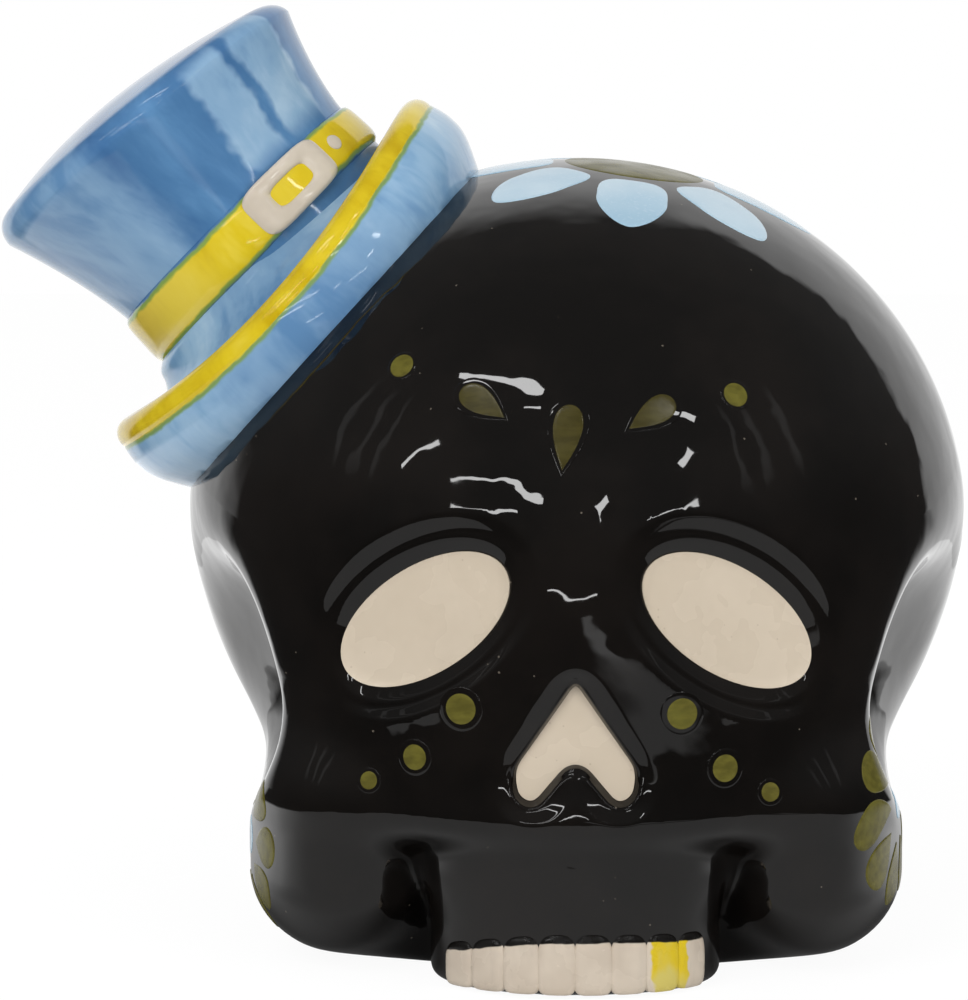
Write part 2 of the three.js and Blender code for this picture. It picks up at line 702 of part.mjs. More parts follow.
const GOLD_TOOTH = 3;
for (let place = 1; place <= TEETH_PER_SIDE; place += 1) {
  add(`tooth_left_${place}`, toothGeometry(-1, place), CREAM_GLAZE, 0.35);
  const glaze = place === GOLD_TOOTH ? GOLD_GLAZE : CREAM_GLAZE;
  add(`tooth_right_${place}`, toothGeometry(1, place), glaze, 0.35);
}

const head = solid(headSkin(SKIN_DETAIL, CLEARANCE));
const crown = crownBody(0).subtract(crownHollow()).subtract(head);
const brimCut = brimBody().subtract(head).subtract(crownBody(CLEARANCE));
const brim = brimCut.subtract(solid(pipingGeometry(CLEARANCE)));
add('hat_crown', geometryOf(crown), BLUE_GLAZE, 0.12);
add('hat_brim', geometryOf(brim), BLUE_GLAZE, 0.12);
add('brim_piping', pipingGeometry(0), YELLOW_GLAZE, 0.12);
add('hat_band', bandGeometry(), YELLOW_GLAZE, 0.12);
add('hat_buckle', geometryOf(buckleBody()), CREAM_GLAZE, 0.12);
add('base_stopper', stopperGeometry(), STOPPER_GREY, 0.6);

const extent = new THREE.Box3().setFromObject(parts);
const middle = extent.getCenter(new THREE.Vector3());
parts.position.set(-middle.x, -middle.y, 0);

const group = new THREE.Group();
group.add(parts);

export default group;
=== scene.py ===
import math
from functools import partial, partialmethod

import bmesh
import bpy
import numpy as np
from mathutils import Matrix, Vector


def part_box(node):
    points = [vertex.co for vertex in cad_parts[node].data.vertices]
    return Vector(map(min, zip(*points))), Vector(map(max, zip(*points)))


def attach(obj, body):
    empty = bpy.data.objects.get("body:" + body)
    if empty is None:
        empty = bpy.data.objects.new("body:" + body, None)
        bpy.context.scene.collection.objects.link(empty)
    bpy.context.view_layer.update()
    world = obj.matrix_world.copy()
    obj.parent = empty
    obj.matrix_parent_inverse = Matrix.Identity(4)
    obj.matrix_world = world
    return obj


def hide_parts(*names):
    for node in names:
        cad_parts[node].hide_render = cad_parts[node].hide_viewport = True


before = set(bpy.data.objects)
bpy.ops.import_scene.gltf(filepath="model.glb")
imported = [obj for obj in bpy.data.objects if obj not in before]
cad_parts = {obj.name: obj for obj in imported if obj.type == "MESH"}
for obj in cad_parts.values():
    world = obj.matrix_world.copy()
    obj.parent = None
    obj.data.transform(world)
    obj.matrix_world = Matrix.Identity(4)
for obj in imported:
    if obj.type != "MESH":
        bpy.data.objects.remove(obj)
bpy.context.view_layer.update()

# Sizes are in millimetres on the skull's own axis, which is the axis of the stopper.
MM = 0.001
plug_low, plug_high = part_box("base_stopper")
AXIS = Vector(((plug_low.x + plug_high.x) / 2, (plug_low.y + plug_high.y) / 2, 0.0))
TO_FRAME = Matrix.Translation(AXIS) @ Matrix.Scale(MM, 4)
SIDES = ((-1, "left"), (1, "right"))
UP = (0, 0, 1)

# Head. Sizes are half width, half depth and rise. The foot's end in a rounded corner and a top.
CRANIUM_HALF_WIDTH, CRANIUM_HALF_DEPTH = 70.5, 73.0
CRANIUM_LEVEL, CRANIUM_RISE, CRANIUM_DROP, CRANIUM_SETBACK = 70.5, 67.0, 62.5, 6.0
CHEEK_LEAN, CHEEK_SIZE, FOOT_SIZE = 8.5, (53.5, 50.5, 60.0), (43.0, 42.0, 30.0, 22.0)
JAW_OUT, JAW_SIZE = 38.8, (18.1, 31.0, 16.5)
TEMPLE_OUT, TEMPLE_AHEAD, TEMPLE_LEVEL, TEMPLE_SIZE = 64.5, 24.0, 39.5, (17.0, 26.0, 14.0)
HEART = np.array([0.0, -6.75, 59.25])
WALL, FLOOR = 6.0, 7.0

# Recesses
EYE_LENGTH, EYE_WIDTH, EYE_TILT, EYE_YAW = 34.2, 17.8, 31.0, 24.0
EYE_SPACING, EYE_LEVEL, SOCKET_DEPTH, PANEL_LEAN = 49.9, 62.0, 4.4, 3.0
NOSE_LEVEL, NOSE_DEPTH = 32.9, 3.4
NOSE_HALF = [
    (0, 5.9), (1.5, 5.5), (2.7, 4.55), (3.9, 3.2), (5.2, 1.65), (6.3, 0.45), (7.3, 0.0), (8.4, 0.3),
    (9.3, 1.3), (9.7, 2.9), (9.75, 4.4), (9.45, 5.7), (8.85, 6.8), (7.5, 8.75), (5.5, 11.64), (3.5, 14.53),
    (1.7, 17.13), (0.8, 18.4), (0, 19.0),
]
RECESS_REACH = 32.0

# Muzzle and teeth
MUZZLE_FOOT_HALF, MUZZLE_ARCH, MUZZLE_FRONT = 24.5, 18.0, 68.0
MUZZLE_TOP, LIP_SWELL, LIP_HALF = 30.5, 4.5, 17.0
TOOTH_PITCH, TOOTH_FOOT, TOOTH_TOP, TEETH_PER_SIDE, GOLD_TOOTH = 6.05, 0.4, 10.8, 4, 3
GUM_LEVEL, GUM_LEFT, GUM_RIGHT, GUM_END, GUM_END_FALL = 9.4, 0.007, 0.0022, 21.2, 1.3

# Slot and stopper
SLOT_LENGTH, SLOT_HEIGHT, SLOT_LEVEL = 38.0, 5.0, 96.0
HOLE, FLANGE, RECESS = 34.0, 41.0, 3.2

# Hat
HAT_TILT, CROWN_HEIGHT, CROWN_SLANT, CROWN_SWAY, CROWN_DOME = 48.0, 41.2, 8.9, 2.2, 4.0
CROWN_TOP, CROWN_WAIST, CROWN_FOOT, WAIST_LEVEL = 68.5, 54.0, 57.0, 13.0
CROWN_EDGE, CROWN_FLARE, HAT_BELOW = 4.2, 1.6, -18.3
BAND_LEVEL, BAND_WIDTH, BUCKLE_TURN = 6.3, 8.5, 27.0
BRIM, BRIM_OFFSET, BRIM_LEVEL, BRIM_CURL, PIPING, PIPING_FULLNESS = 82.0, -2.4, -0.5, 3.0, 5.0, 0.61

# The hat sits where its tilted axis leaves the cranium
hat_x, hat_z = -math.sin(math.radians(HAT_TILT)), math.cos(math.radians(HAT_TILT))
hat_reach = 1 / math.hypot(hat_x / CRANIUM_HALF_WIDTH, hat_z / CRANIUM_RISE)
HAT_SEAT = Vector((hat_x * hat_reach, CRANIUM_SETBACK, CRANIUM_LEVEL + hat_z * hat_reach))
HAT = np.array(Matrix.Translation(HAT_SEAT) @ Matrix.Rotation(-math.radians(HAT_TILT), 4, "Y"))

# Transfers: place and radius of each dot, and place, length, width and turn of each leaf
CHEEK_DOTS = [
    ((-18.9, -66.2, 48.0), 2.65), ((-26.6, -62.7, 39.4), 2.2), ((-34.4, -59.3, 34.9), 1.55),
    ((17.5, -66.6, 47.4), 2.65), ((24.7, -63.7, 37.9), 2.35), ((32.3, -60.3, 33.4), 1.65),
]
BROW_DOTS = [((-29.2, -49.9, 103.5), 2.15), ((26.4, -54.1, 99.0), 2.15)]
BROW_LEAVES = [
    ((-15.4, -58.6, 97.9), 9.6, 4.6, math.radians(-32)),
    ((-1.6, -62.9, 92.6), 11.6, 4.9, math.radians(-97)),
    ((12.4, -60.2, 96.3), 9.6, 4.5, math.radians(212)),
]
FLOWER, FLOWER_UP, FLOWER_DISC = (10.3, -1.2, 136.0), (0, 1, 0), 12.5
PETALS, PETAL_INNER, PETAL_TIP, PETAL_WIDTH = 8, 14.5, 33.0, 12.4
JAW_FLOWERS = {"left": (-57.0, -33.4, 20.5), "right": (55.6, -38.0, 28.0)}
JAW_PETALS, JAW_PETAL_RADIUS, JAW_PETAL_LENGTH, JAW_PETAL_WIDTH, JAW_DISC = 10, 11.6, 9.4, 7.0, 3.4
FILM = 0.12


# Head surface

def smooth_min(a, b, reach):
    overlap = np.maximum(reach - np.abs(a - b), 0) / reach
    return np.minimum(a, b) - overlap * overlap * reach / 4


def smooth_step(low, high, value):
    t = np.clip((value - low) / (high - low), 0, 1)
    return t * t * (3 - 2 * t)


def ramp(low, high, value, ease=0.3):
    """An even slope with eased ends, for the walls of the recesses."""
    t = np.clip((value - low) / (high - low), 0, 1)
    slope = 1 / (1 - ease)
    start, end = t * t * slope / (2 * ease), 1 - (1 - t) ** 2 * slope / (2 * ease)
    return np.where(t < ease, start, np.where(t > 1 - ease, end, (t - ease / 2) * slope))


def egg(x, y, z, rx, ry, rz):
    near = np.sqrt((x / rx) ** 2 + (y / ry) ** 2 + (z / rz) ** 2)
    slope = np.sqrt((x / rx ** 2) ** 2 + (y / ry ** 2) ** 2 + (z / rz ** 2) ** 2)
    return near * (near - 1) / np.maximum(slope, 1e-9)


def block(x, y, z, half_x, half_y, corner, top):
    out = np.stack([x - half_x + corner, np.abs(y) - half_y + corner, z - top + corner])
    within = np.minimum(out.max(0), 0)
    return np.sqrt((np.maximum(out, 0) ** 2).sum(0)) + within - corner


def swell(z, level, rise, under_level, drop):
    """Height above a form's upright middle, or below it in the same measure."""
    return (np.maximum(z - level, 0) / rise + np.maximum(under_level - z, 0) / drop) * rise


def vault(points):
    """The cranium, cheeks and foot, without the jaw, muzzle and temples."""
    x, y, z = np.abs(points[..., 0]), points[..., 1], points[..., 2]
    rise = np.where(z > CRANIUM_LEVEL, CRANIUM_RISE, CRANIUM_DROP)
    cranium = egg(x, y - CRANIUM_SETBACK, z - CRANIUM_LEVEL, CRANIUM_HALF_WIDTH, CRANIUM_HALF_DEPTH, rise)
    lean_back = math.tan(math.radians(CHEEK_LEAN)) * (z - 30)
    cheeks = egg(x, y + 19.5 - lean_back, swell(z, 48, CHEEK_SIZE[2], 30, 14), *CHEEK_SIZE)
    return smooth_min(smooth_min(cranium, cheeks, 15), block(x, y + 4, z, *FOOT_SIZE), 18)


def temple(points):
    """The hollow behind each cheekbone. Its rear wall slants out to the side of the cranium."""
    rear, rise = points[..., 1] + TEMPLE_AHEAD, points[..., 2] - TEMPLE_LEVEL
    across = np.abs(points[..., 0]) - TEMPLE_OUT - 0.3 * np.maximum(rear, 0)
    along, above = np.where(rear > 0, 0.81 * rear, rear), np.where(rise > 0, 0.5 * rise, rise)
    return egg(across, along, above, *TEMPLE_SIZE)


def head(points):
    """Negative inside the head, positive outside."""
    x, y, z = np.abs(points[..., 0]), points[..., 1], points[..., 2]
    jaw = egg(x - JAW_OUT, y + 26, swell(z, 28.5, JAW_SIZE[2], 15, 15.5), *JAW_SIZE)
    width = MUZZLE_FOOT_HALF + 2 * smooth_step(9.5, 20, z)
    rise = np.maximum(z - MUZZLE_TOP - LIP_SWELL * np.exp(-(x / LIP_HALF) ** 2), 0)
    muzzle = egg(x, y + MUZZLE_FRONT - MUZZLE_ARCH, rise, width, MUZZLE_ARCH, MUZZLE_ARCH)
    whole = smooth_min(smooth_min(vault(points), jaw, 10), muzzle, 3)
    return -smooth_min(-whole, temple(points), 6 + 4 * smooth_step(-30, 0, y))


def in_head(points):
    return head(points) < 0


def standing(points):
    """The head cut off level at the ground, with a rounded edge."""
    return -smooth_min(-head(points), points[..., 2], 3.0)


def unit(vectors):
    return vectors / np.linalg.norm(vectors, axis=-1, keepdims=True)


def outward(points):
    step = np.eye(3) * 0.05
    return unit(np.stack([head(points + s) - head(points - s) for s in step], -1))


def reach_inside(start, way, low, high, inside, halvings):
    """How far along a way the inside of a form reaches, between a reach inside it and one outside."""
    for _ in range(halvings):
        middle = (low + high) / 2
        under = inside(start + way * middle[..., None])
        low, high = np.where(under, middle, low), np.where(under, high, middle)
    return low


def skin_along(directions, distance):
    """Outermost point of a surface along each ray from the heart."""
    reach = np.zeros(len(directions))
    for step in np.arange(0, 130, 2.0):
        reach = np.where(distance(HEART + directions * step) < 0, step, reach)
    reach = reach_inside(HEART, directions, reach, reach + 2.0, lambda p: distance(p) < 0, 18)
    return HEART + directions * reach[:, None]


def snap(point):
    """The place on the head's skin that lies out from the heart through a point."""
    return skin_along(unit(np.asarray(point, float) - HEART)[None], head)[0]


def face_front(x, z):
    start, way = np.array([x, 0.0, z]), np.array([0.0, 1.0, 0.0])
    return float(reach_inside(start, way, np.float64(HEART[1]), np.float64(-140.0), in_head, 26))


# Recess outlines and frames: local x across, y up, z out of the face

def eye_edge(side, angle, margin=0.0):
    tilt = -side * math.radians(EYE_TILT)
    u, v = (EYE_LENGTH / 2 + margin) * np.cos(angle), (EYE_WIDTH / 2 + margin) * np.sin(angle)
    return np.stack([u * math.cos(tilt) - v * math.sin(tilt), u * math.sin(tilt) + v * math.cos(tilt)], -1)


def eye_outline(side):
    return eye_edge(side, np.linspace(0, 2 * np.pi, 96, endpoint=False))


def smooth_profile(points, pieces, closed=False):
    """A soft line through the given points."""
    points = np.array(points, float)
    if closed:
        padded = np.concatenate([points[-1:], points, points[:2]])
    else:
        padded = np.concatenate([2 * points[:1] - points[1:2], points, 2 * points[-1:] - points[-2:-1]])
    out = []
    for a, b, c, d in zip(padded, padded[1:], padded[2:], padded[3:]):
        for t in np.arange(pieces) / pieces:
            bend = (2 * a - 5 * b + 4 * c - d) * t ** 2 + (3 * b - a - 3 * c + d) * t ** 3
            out.append(0.5 * (2 * b + (c - a) * t + bend))
    return np.array(out if closed else [*out, points[-1]])


def nose_outline():
    half = np.array(NOSE_HALF, float)
    return smooth_profile(np.concatenate([half, half[-2:0:-1] * [-1, 1]]), 4, closed=True)


def outline_gap(outline, uv):
    """Distance from an outline, negative inside it."""
    ahead = np.roll(outline, -1, 0)
    edge = ahead - outline
    away = uv[:, None] - outline
    t = np.clip((away * edge).sum(-1) / np.maximum((edge * edge).sum(-1), 1e-12), 0, 1)
    near = np.linalg.norm(away - t[..., None] * edge, axis=-1).min(1)
    above = (outline[:, 1] > uv[:, 1:]) != (ahead[:, 1] > uv[:, 1:])
    run = np.where(np.abs(edge[:, 1]) < 1e-9, 1e-9, edge[:, 1])
    crossing = uv[:, :1] < edge[:, 0] * (uv[:, 1:] - outline[:, 1]) / run + outline[:, 0]
    inside = (above & crossing).sum(1) % 2 == 1
    return np.where(inside, -near, near)


def soft_gap(outline, uv, power=4.0):
    """As outline_gap, but rounded where the distance would crease outside a notch."""
    exact = outline_gap(outline, uv)
    ahead = np.roll(outline, -1, 0)
    length = np.linalg.norm(ahead - outline, axis=1)
    away = np.linalg.norm(uv[:, None] - (ahead + outline) / 2, axis=-1)
    share = math.sqrt(math.pi) * math.gamma((power - 1) / 2) / math.gamma(power / 2)
    soft = ((length * np.maximum(away, 0.2) ** -power).sum(1) / share) ** (-1 / (power - 1))
    use_soft = smooth_step(0.5, 1.6, exact)
    return exact * (1 - use_soft) + soft * use_soft


def recess_frame(x, z, yaw, depth):
    turn = Matrix.Rotation(math.radians(yaw), 4, "Z") @ Matrix.Rotation(math.radians(90 - PANEL_LEAN), 4, "X")
    return np.array(Matrix.Translation((x, face_front(x, z) + depth, z)) @ turn)


EYES = {
    side: recess_frame(side * EYE_SPACING / 2, EYE_LEVEL, side * EYE_YAW, SOCKET_DEPTH) for side, _ in SIDES
}
NOSE = recess_frame(0, NOSE_LEVEL, 0, NOSE_DEPTH)


def to_local(grid, points):
    return (points - grid[:3, 3]) @ grid[:3, :3]


def to_head(grid, local):
    return local @ grid[:3, :3].T + grid[:3, 3]


def eye_rise(away, local, side):
    """How far the socket's wall has climbed: an inner wall, a ledge and an outer wall."""
    tilt = -side * math.radians(EYE_TILT)
    up = np.clip((local[:, 1] * math.cos(tilt) - local[:, 0] * math.sin(tilt)) / EYE_WIDTH, -1, 1)
    spread = 1 + 0.1 * up
    return 0.55 * ramp(-1.0, 3.0, away) + 0.45 * ramp(3.1 * spread, 6.4 * spread, away)


def nose_rise(away, local):
    """A thin step and an even wall beside the nose, and a steep wall with a broad lip under it."""
    spread = 1 + 0.15 * smooth_step(10, 20, local[:, 1])
    beside = 0.6 * ramp(-0.4, 0.6, away) + 0.4 * ramp(0.4, 3.5 * spread, away)
    under = 0.75 * ramp(-0.5, 1.4, away) + 0.25 * ramp(1.0, 5.2, away)
    share = smooth_step(2.5, 6.5, local[:, 1])
    return beside * share + under * (1 - share)


def by_recess(points, grid):
    """Local places in a recess's frame, and which of them are on the face near it."""
    local = to_local(grid, points)
    return local, (points[:, 1] < HEART[1]) & (np.abs(local[:, :2]) < RECESS_REACH).all(1)


def sink(points, grid, outline, rise, gap):
    local, near = by_recess(points, grid)
    part = local[near]
    part[:, 2] *= rise(gap(outline, part[:, :2]), part)
    points[near] = to_head(grid, part)
    return points


def slot_gap(points):
    reach = SLOT_LENGTH / 2 - SLOT_HEIGHT / 2
    across = np.maximum(np.abs(points[:, 0]) - reach, 0)
    return np.hypot(across, points[:, 2] - SLOT_LEVEL) - SLOT_HEIGHT / 2


# Frame, outline, climb of the walls and measure of distance of each recess
RECESSES = [
    (grid, eye_outline(side), partial(eye_rise, side=side), outline_gap) for side, grid in EYES.items()]
RECESSES.append((NOSE, nose_outline(), nose_rise, soft_gap))


def skull_skin(directions):
    points = skin_along(directions, standing)
    for recess in RECESSES:
        points = sink(points, *recess)
    back = points[:, 1] > HEART[1]
    points[back, 1] -= 0.9 * (1 - smooth_step(0, 2.2, slot_gap(points[back])))
    return points


# Mesh helpers

def move(bm, change):
    verts = list(bm.verts)
    for vert, co in zip(verts, change(np.array([v.co for v in verts], float))):
        vert.co = co
    return bm


def gather(points, share):
    """Draws the facets of a ball together towards the face."""
    y = np.clip(points[:, 1], -1, 1)
    spread = share * np.sqrt((1 + y) / np.maximum(1 - y, 1e-9))
    ring = np.hypot(points[:, 0], points[:, 2])
    scale = 2 * spread / (1 + spread ** 2) / np.maximum(ring, 1e-9)
    moved = np.stack([points[:, 0] * scale, (spread ** 2 - 1) / (spread ** 2 + 1), points[:, 2] * scale], -1)
    return np.where(ring[:, None] > 1e-6, moved, points)


def spun(bm, steps):
    """Turns a line or ring once round the upright axis."""
    bmesh.ops.spin(
        bm, geom=list(bm.verts) + list(bm.edges), cent=(0, 0, 0), axis=(0, 0, 1), angle=2 * math.pi,
        steps=steps, use_merge=True)
    return bm


def turned(profile, steps):
    """A profile of radius and height, turned round the upright axis."""
    bm = bmesh.new()
    verts = [bm.verts.new((r, 0, z)) for r, z in profile]
    for pair in zip(verts, verts[1:]):
        bm.edges.new(pair)
    spun(bm, steps)
    bmesh.ops.remove_doubles(bm, verts=bm.verts, dist=1e-5)
    return bm


def joined(parts):
    bm = bmesh.new()
    for part in parts:
        mesh = bpy.data.meshes.new("joined")
        part.to_mesh(mesh)
        part.free()
        bm.from_mesh(mesh)
        bpy.data.meshes.remove(mesh)
    return bm


def in_scene(name, data):
    made = bpy.data.objects.new(name, data)
    bpy.context.scene.collection.objects.link(made)
    return made


def linked(name, bm, materials):
    """An object in the scene with the mesh and materials given."""
    mesh = bpy.data.meshes.new(name)
    bm.to_mesh(mesh)
    bm.free()
    for material in materials:
        mesh.materials.append(material)
    return in_scene(name, mesh)


def piece(name, bm, materials, replaced=None, body="bank", crease=38):
    bmesh.ops.recalc_face_normals(bm, faces=bm.faces)
    for face in bm.faces:
        face.smooth = True
    for edge in bm.edges:
        if len(edge.link_faces) == 2 and edge.calc_face_angle() > math.radians(crease):
            edge.smooth = False
    bm.transform(TO_FRAME)
    made = linked(name, bm, materials)
    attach(made, body)
    if replaced:
        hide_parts(replaced)


def blank(name, bm, finish_index=0):
    """A form to be cut, or to cut another, with the index of the finish on its faces."""
    for face in bm.faces:
        face.material_index = finish_index
    bmesh.ops.recalc_face_normals(bm, faces=bm.faces)
    return linked(name, bm, [BLACK, CLAY])


def cut(form, cutters):
    for cutter in cutters:
        modifier = form.modifiers.new(cutter.name, "BOOLEAN")
        modifier.operation = "DIFFERENCE"
        modifier.solver = "MANIFOLD"
        modifier.object = cutter
    bm = bmesh.new()
    bm.from_mesh(form.evaluated_get(bpy.context.evaluated_depsgraph_get()).to_mesh())
    for made in [form, *cutters]:
        mesh = made.data
        bpy.data.objects.remove(made)
        bpy.data.meshes.remove(mesh)
    return bm


# Node helpers

def srgb(r, g, b):
    def one(c):
        c /= 255
        return c / 12.92 if c <= 0.04045 else ((c + 0.055) / 1.055) ** 2.4
    return one(r), one(g), one(b), 1.0


def node(tree, kind, inputs=None, **settings):
    """The outputs of a new node, whose inputs are linked or set."""
    made = tree.nodes.new(kind)
    for key, value in settings.items():
        setattr(made, key, value)
    for key, value in (inputs or {}).items():
        value = getattr(value, "socket", value)
        if isinstance(value, bpy.types.NodeSocket):
            tree.links.new(value, made.inputs[key])
        else:
            made.inputs[key].default_value = value
    return made.outputs


class Value:
    """A node's output, to be reckoned with as a number, a place or a shader."""

    def __init__(self, socket):
        self.socket, self.tree = socket, socket.id_data

    def node(self, kind, inputs, output=0, **settings):
        return Value(node(self.tree, kind, inputs, **settings)[output])

    def math(self, operation, other=0.0):
        return self.node("ShaderNodeMath", {0: self, 1: other}, operation=operation)

    __add__, __sub__ = partialmethod(math, "ADD"), partialmethod(math, "SUBTRACT")
    __mul__, __truediv__ = partialmethod(math, "MULTIPLY"), partialmethod(math, "DIVIDE")
    size, most = partialmethod(math, "ABSOLUTE"), partialmethod(math, "MAXIMUM")

    def __rsub__(self, other):
        return self * -1.0 + other

    def hypot(self, other):
        return (self * self + other * other).math("SQRT")

    def span(self, low, high, to_low=0.0, to_high=1.0):
        return self.node("ShaderNodeMapRange", {
            "Value": self, "From Min": low, "From Max": high, "To Min": to_low, "To Max": to_high},
            interpolation_type="SMOOTHSTEP")

    def blend(self, a, b):
        """The first colour where this is 0, the second where it is 1."""
        return self.node("ShaderNodeMix", {0: self, 6: a, 7: b}, 2, data_type="RGBA")

    def mix(self, a, b):
        """The first shader where this is 0, the second where it is 1."""
        return self.node("ShaderNodeMixShader", {0: self, 1: a, 2: b})

    def axes(self):
        return [Value(axis) for axis in node(self.tree, "ShaderNodeSeparateXYZ", {0: self})]

    def noise(self, scale, detail=2.0, rough=0.5, stretched=None, distortion=0.0):
        place = self.node("ShaderNodeMapping", {"Vector": self, "Scale": stretched}) if stretched else self
        grain = {"Scale": scale, "Detail": detail, "Roughness": rough, "Distortion": distortion}
        return self.node("ShaderNodeTexNoise", {"Vector": place, **grain}, "Fac")

    def wander(self, scale, detail, rough, reach):
        """An uneven value round 0, for lines that a hand drew."""
        return (self.noise(scale, detail, rough) - 0.5) * reach

    def mottled(self, scale, detail, rough, low, high):
        return self.noise(scale, detail, rough).span(0.3, 0.7).blend(low, high)

    def on_hat(self):
        """A place in the hat's own upright frame."""
        return self.node("ShaderNodeMapping", {
            "Vector": self, "Location": TO_FRAME @ HAT_SEAT, "Rotation": (0.0, -math.radians(HAT_TILT), 0.0)},
            vector_type="TEXTURE")

    def own_mark(self, label):
        """A value that is stored on the piece's own mesh."""
        return self.node("ShaderNodeAttribute", {}, "Fac", attribute_name=label)

    def use(self, group, **inputs):
        return self.node("ShaderNodeGroup", inputs, node_tree=group)

    def specked(self, body, scale, size, share, strength, colour):
        return (self.use(SPECKS, Scale=scale, Size=size, Share=share) * strength).blend(body, colour)


def places(tree, kind="Object"):
    return Value(node(tree, "ShaderNodeTexCoord")[kind])


def group(name, kind, output, work, **inputs):
    """A node group with sockets of one kind, whose output is worked out from its places and inputs."""
    tree = bpy.data.node_groups.new(name, "ShaderNodeTree")
    for label, value in inputs.items():
        tree.interface.new_socket(label, in_out="INPUT", socket_type=kind).default_value = value
    tree.interface.new_socket(output, in_out="OUTPUT", socket_type=kind)
    made = work(places(tree), node(tree, "NodeGroupInput"))
    node(tree, "NodeGroupOutput", {output: made})
    return tree


def empty_material(name):
    made = bpy.data.materials.new(name)
    made.use_nodes = True
    made.node_tree.nodes.clear()
    return made, made.node_tree


def ripple(place, given):
    """Slow waves and a fine peel, as in a brushed-on glaze."""
    return place.noise(given["Wave"], 1.5, 0.4) + place.noise(420.0, 1.0) * given["Peel"]


def specks(place, given):
    """Scattered specks of dust and pinholes."""
    cells = node(place.tree, "ShaderNodeTexVoronoi", {"Vector": place, "Scale": given["Scale"]})
    pick = place.node("ShaderNodeSeparateColor", {0: cells["Color"]})
    dot = Value(cells["Distance"]).math("LESS_THAN", given["Size"])
    return pick.math("LESS_THAN", given["Share"]) * dot


def brushed(place, given):
    """Streaks of a loaded brush drawn up the hat."""
    place = place.on_hat()
    broad = place.noise(42.0, 4.0, 0.6, (1.0, 1.0, 0.6), 0.8)
    streak = place.noise(240.0, 3.0, 0.6, (1.0, 1.0, 0.3), 0.4)
    thick = broad * 0.75 + streak * 0.25
    low = thick.span(0.36, 0.52).blend(given["Deep"], given["Body"])
    return thick.span(0.5, 0.68).blend(low, given["Light"])


RIPPLE = group("glaze_ripple", "NodeSocketFloat", "Height", ripple, Wave=55.0, Peel=0.15)
SPECKS = group("specks", "NodeSocketFloat", "Mask", specks, Scale=400.0, Size=0.1, Share=0.2)
STROKES = group(
    "brush_strokes", "NodeSocketColor", "Colour", brushed, Light=(1, 1, 1, 1), Body=(0.5, 0.5, 0.5, 1),
    Deep=(0, 0, 0, 1))


# Finishes

def finish(name, colour, roughness, wave, peel, bump, reach, ior=1.5):
    """A material whose colour and roughness are worked out from places on the piece."""
    made, tree = empty_material(name)
    place = places(tree)
    height = place.use(RIPPLE, Wave=wave, Peel=peel)
    bumped = place.node("ShaderNodeBump", {"Strength": bump, "Distance": reach, "Height": height})
    shader = place.node("ShaderNodeBsdfPrincipled", {
        "Base Color": colour(place), "Roughness": roughness(place), "Normal": bumped, "IOR": ior})
    node(tree, "ShaderNodeOutputMaterial", {0: shader})
    return made


def satin(low, high, scale=140.0, detail=2.0, full=0.7):
    return lambda place: place.noise(scale, detail).span(0.3, full, low, high)


def black_colour(place):
    cloud = place.noise(45.0, 4.0, 0.6).span(0.35, 0.7)
    body = cloud.blend((0.0030, 0.0024, 0.0020, 1), (0.0062, 0.0048, 0.0040, 1))
    return place.specked(body, 520.0, 0.10, 0.05, 0.55, srgb(120, 112, 100))


def cream_colour(place):
    body = place.mottled(70.0, 3.0, 0.6, srgb(200, 186, 166), srgb(206, 192, 172))
    return place.specked(body, 900.0, 0.16, 0.08, 0.35, srgb(150, 132, 108))


def paint_line(place):
    """1 on the cream part of the teeth, 0 on the black above it."""
    x, _, z = place.axes()
    x = x - AXIS.x
    left, right, end = x.math("MINIMUM", 0.0), x.most(0.0), (x - GUM_END * MM).most(0.0)
    fall = left * left * (GUM_LEFT / MM) + right * right * (GUM_RIGHT / MM) + end * GUM_END_FALL
    line = GUM_LEVEL * MM - fall + place.wander(260.0, 2.0, 0.5, 0.0009)
    return (line - z).span(-0.00012, 0.00012)


def cream_strip(place):
    """Bare cream of the teeth with rubbed-in dirt."""
    body = place.mottled(90.0, 3.0, 0.6, srgb(196, 182, 165), srgb(210, 197, 180))
    streak = place.noise(190.0, 4.0, 0.7, (1.0, 1.0, 0.25)).span(0.5, 0.78)
    left = place.axes()[0].span(AXIS.x - 0.006, AXIS.x - 0.020, 0.25, 0.9)
    return (streak * left * 0.6).blend(body, srgb(128, 118, 108))


def gold_dab(place):
    """1 under the uneven dab of yellow brushed over the gold tooth."""
    off = place.axes()[0] + place.wander(230.0, 2.0, 0.6, 0.0035) - (AXIS.x + 0.0158)
    return off.size().span(0.0026, 0.0030, 1.0, 0.0)


def tooth_colour(place):
    thick = place.noise(170.0, 3.0, 0.6, (1.0, 1.0, 0.5))
    deep = thick + (place.axes()[2].span(0.001, 0.006) - 0.5) * 0.3
    yellow = deep.span(0.34, 0.62).blend(srgb(208, 192, 100), srgb(216, 188, 12))
    shown = gold_dab(place).blend(cream_strip(place), yellow)
    return paint_line(place).blend((0.0045, 0.0036, 0.003, 1), shown)


def olive(low, high, fresh):
    def colour(place):
        weave = place.noise(700.0, 2.0, 0.6, (0.35, 1.0, 1.0)).span(0.3, 0.7)
        body = weave.blend(srgb(*low), srgb(*high))
        return place.noise(130.0).span(0.5, 0.8, 0.0, 0.5).blend(body, srgb(*fresh))
    return colour


def sky_colour(place):
    body = place.mottled(60.0, 3.0, 0.5, srgb(164, 196, 216), srgb(186, 210, 224))
    return place.noise(1500.0, 1.0).span(0.55, 0.75, 0.0, 0.35).blend(body, srgb(196, 216, 230))


def strokes(light, body, deep):
    return lambda place: place.use(STROKES, Light=srgb(*light), Body=srgb(*body), Deep=srgb(*deep))


